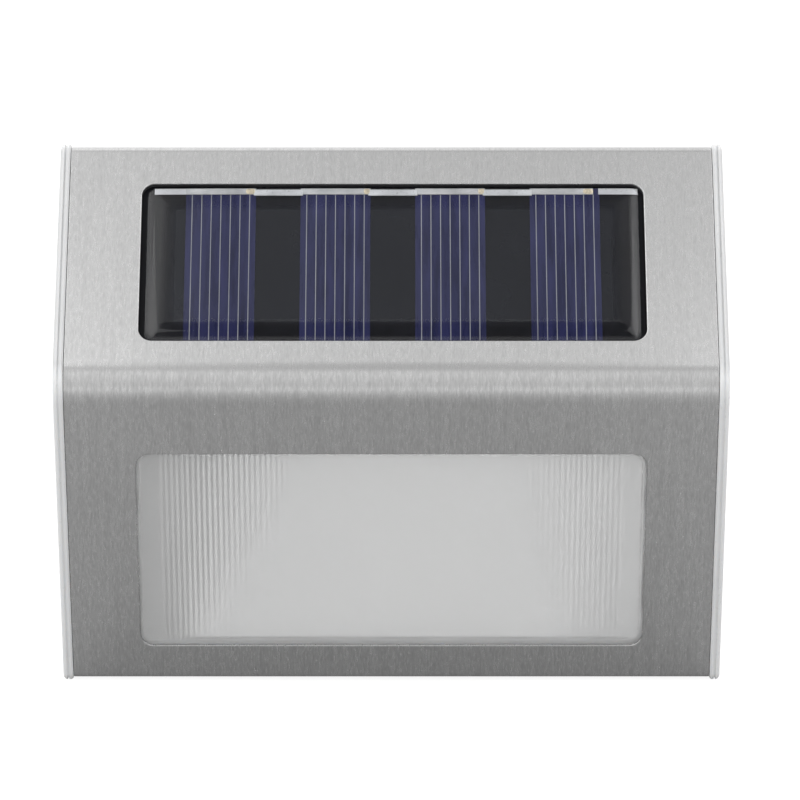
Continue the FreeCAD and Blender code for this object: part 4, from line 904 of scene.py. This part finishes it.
lamps = {  # place, target, width, height, radiance
    "sideLeft": ((-0.255, 0.0, 0.28), (-0.22, 0.0, 0.0), 0.25, 0.20, 0.9),
    "sideRight": ((0.255, 0.0, 0.28), (0.22, 0.0, 0.0), 0.25, 0.20, 0.9),
    "frontLeft": ((-0.125, -0.16, 0.29), (-0.11, -0.15, 0.0), 0.13, 0.08, 1.05),
    "frontRight": ((0.125, -0.16, 0.29), (0.11, -0.15, 0.0), 0.13, 0.08, 1.05),
    "frontStrip": ((0.0, -0.134, 0.295), (0.0, -0.134, 0.0), 0.13, 0.014, 0.8),
}


def makeFloor():
    # pale paint that keeps the object's shadow; it glows up to white for the camera, further out for gloss and glass,
    # and softly for every ray, a little less close to the object; the glow that is lower near the object, and missing
    # there for gloss and glass, is painted shade around it
    p = studio
    half, z = p["floorHalf"], p["floorZ"]
    points = np.array([[-half, -half, z], [half, -half, z], [half, half, z], [-half, half, z]])
    floor = makePiece("floor", points, [[0, 1, 2, 3]], closed=False)
    material, nodes, links, shader, output = startMaterial("floorPaint")
    nodes.remove(shader)
    paint = nodes.new("ShaderNodeBsdfDiffuse")
    paint.inputs["Color"].default_value = (p["floorPaint"],) * 3 + (1.0,)
    place = objectPlace(nodes)
    distance = addVectorMath(nodes, links, "LENGTH", place)
    mirrored = addRange(nodes, links, distance, 0.0, p["glowMirrored"], *p["glowReach"])
    stretched = addVectorMath(nodes, links, "MULTIPLY", place, constant=p["glowStretch"])
    near, far, dip, full = p["glowDip"]
    low, high = dip * p["glowSoft"], full * p["glowSoft"]
    always = addRange(nodes, links, addVectorMath(nodes, links, "LENGTH", stretched), low, high, near, far)
    path = nodes.new("ShaderNodeLightPath")
    bent = addMath(nodes, links, "MAXIMUM", path.outputs["Is Glossy Ray"], path.outputs["Is Transmission Ray"])
    unseen = addMath(nodes, links, "MULTIPLY_ADD", bent, mirrored, always)
    strength = addMath(nodes, links, "MULTIPLY_ADD", path.outputs["Is Camera Ray"], p["glowSeen"], unseen)
    glow = nodes.new("ShaderNodeEmission")
    links.new(strength, glow.inputs["Strength"])
    both = nodes.new("ShaderNodeAddShader")
    links.new(paint.outputs["BSDF"], both.inputs[0])
    links.new(glow.outputs["Emission"], both.inputs[1])
    links.new(both.outputs["Shader"], output.inputs["Surface"])
    floor.data.materials.append(material)


def makeWorld():
    # pale tent whose tone depends on direction alone: darker low down, overhead, to the right and in the patch where
    # the camera stands, paler in a band high on each side and a little from behind; the camera itself sees white
    p = studio
    world = bpy.data.worlds.new("studio")
    bpy.context.scene.world = world
    world.use_nodes = True
    nodes, links = world.node_tree.nodes, world.node_tree.links
    nodes.clear()

    def spread(value, first, last, reach):
        return addRange(nodes, links, value, first, last, *reach)

    def times(first, second):
        return addMath(nodes, links, "MULTIPLY", first, second)

    x, y, up = addAxes(nodes, links, nodes.new("ShaderNodeTexCoord").outputs["Generated"])
    patch = times(spread(up, 0.0, 1.0, p["cameraLow"]), spread(up, 1.0, 0.0, p["cameraHigh"]))
    patch = times(patch, spread(addMath(nodes, links, "ABSOLUTE", x), 1.0, 0.0, p["cameraSide"]))
    patch = times(patch, spread(y, 1.0, 0.0, p["cameraFront"]))
    tent = spread(up, p["tentTone"], p["topTone"], p["topFrom"])
    tent = times(tent, spread(up, p["lowTone"], 1.0, p["lowFrom"]))
    tent = times(tent, spread(up, 1.0, p["overTone"], p["overFrom"]))
    tent = times(tent, spread(x, 1.0, p["topLeanTone"], p["topLean"]))
    for sign, tone, reach in zip((-1.0, 1.0), p["sideTone"], p["sideFrom"]):
        away = times(x, sign)
        side = times(spread(away, 0.0, tone, reach), spread(away, 1.0, 0.0, p["sideEnd"]))
        tent = addMath(nodes, links, "ADD", tent, times(side, spread(up, 0.0, 1.0, p["sideUp"])))
    behind = spread(y, 0.0, p["backTone"], p["backFacing"])
    shade = spread(patch, 1.0, p["cameraTone"] / p["tentTone"], (0.0, 1.0))
    output = nodes.new("ShaderNodeOutputWorld")
    soft = nodes.new("ShaderNodeBackground")
    links.new(times(addMath(nodes, links, "ADD", tent, behind), shade), soft.inputs["Strength"])
    seen = nodes.new("ShaderNodeBackground")
    for background in (soft, seen):
        background.inputs["Color"].default_value = (1.0, 1.0, 1.0, 1.0)
    byCamera = nodes.new("ShaderNodeLightPath").outputs["Is Camera Ray"]
    mixed = addMixShader(nodes, links, byCamera, soft.outputs["Background"], seen.outputs["Background"])
    links.new(mixed, output.inputs["Surface"])


def addLamp(name, place, target, width, height, radiance):
    # power = radiance x pi x area
    lamp = bpy.data.lights.new(name, "AREA")
    lamp.shape = "RECTANGLE"
    lamp.size, lamp.size_y, lamp.energy = width, height, radiance * math.pi * width * height
    holder = bpy.data.objects.new(name, lamp)
    holder.visible_camera = False
    bpy.context.scene.collection.objects.link(holder)
    direction = np.array(target) - np.array(place)
    pitch = math.atan2(math.hypot(direction[0], direction[1]), -direction[2])
    turn = math.atan2(-direction[0], direction[1])
    holder.location = place
    holder.rotation_euler = (pitch, 0.0, turn)


makeFloor()
makeWorld()
for lampName, lampPlace in lamps.items():
    addLamp(lampName, *lampPlace)

view = {"lens": 225.0, "sensor": 36.0, "place": (0.00153, -0.8847, 0.1888), "pitch": 78.0, "far": 20.0}
camera = bpy.data.objects.new("camera", bpy.data.cameras.new("camera"))
bpy.context.scene.collection.objects.link(camera)
camera.data.lens = view["lens"]
camera.data.sensor_width = view["sensor"]
camera.location = view["place"]
camera.rotation_euler = (math.radians(view["pitch"]), 0.0, 0.0)
camera.data.clip_end = view["far"]
bpy.context.scene.camera = camera
bpy.context.scene.view_settings.view_transform = "Standard"
print("studio ready")

bpy.context.view_layer.update()
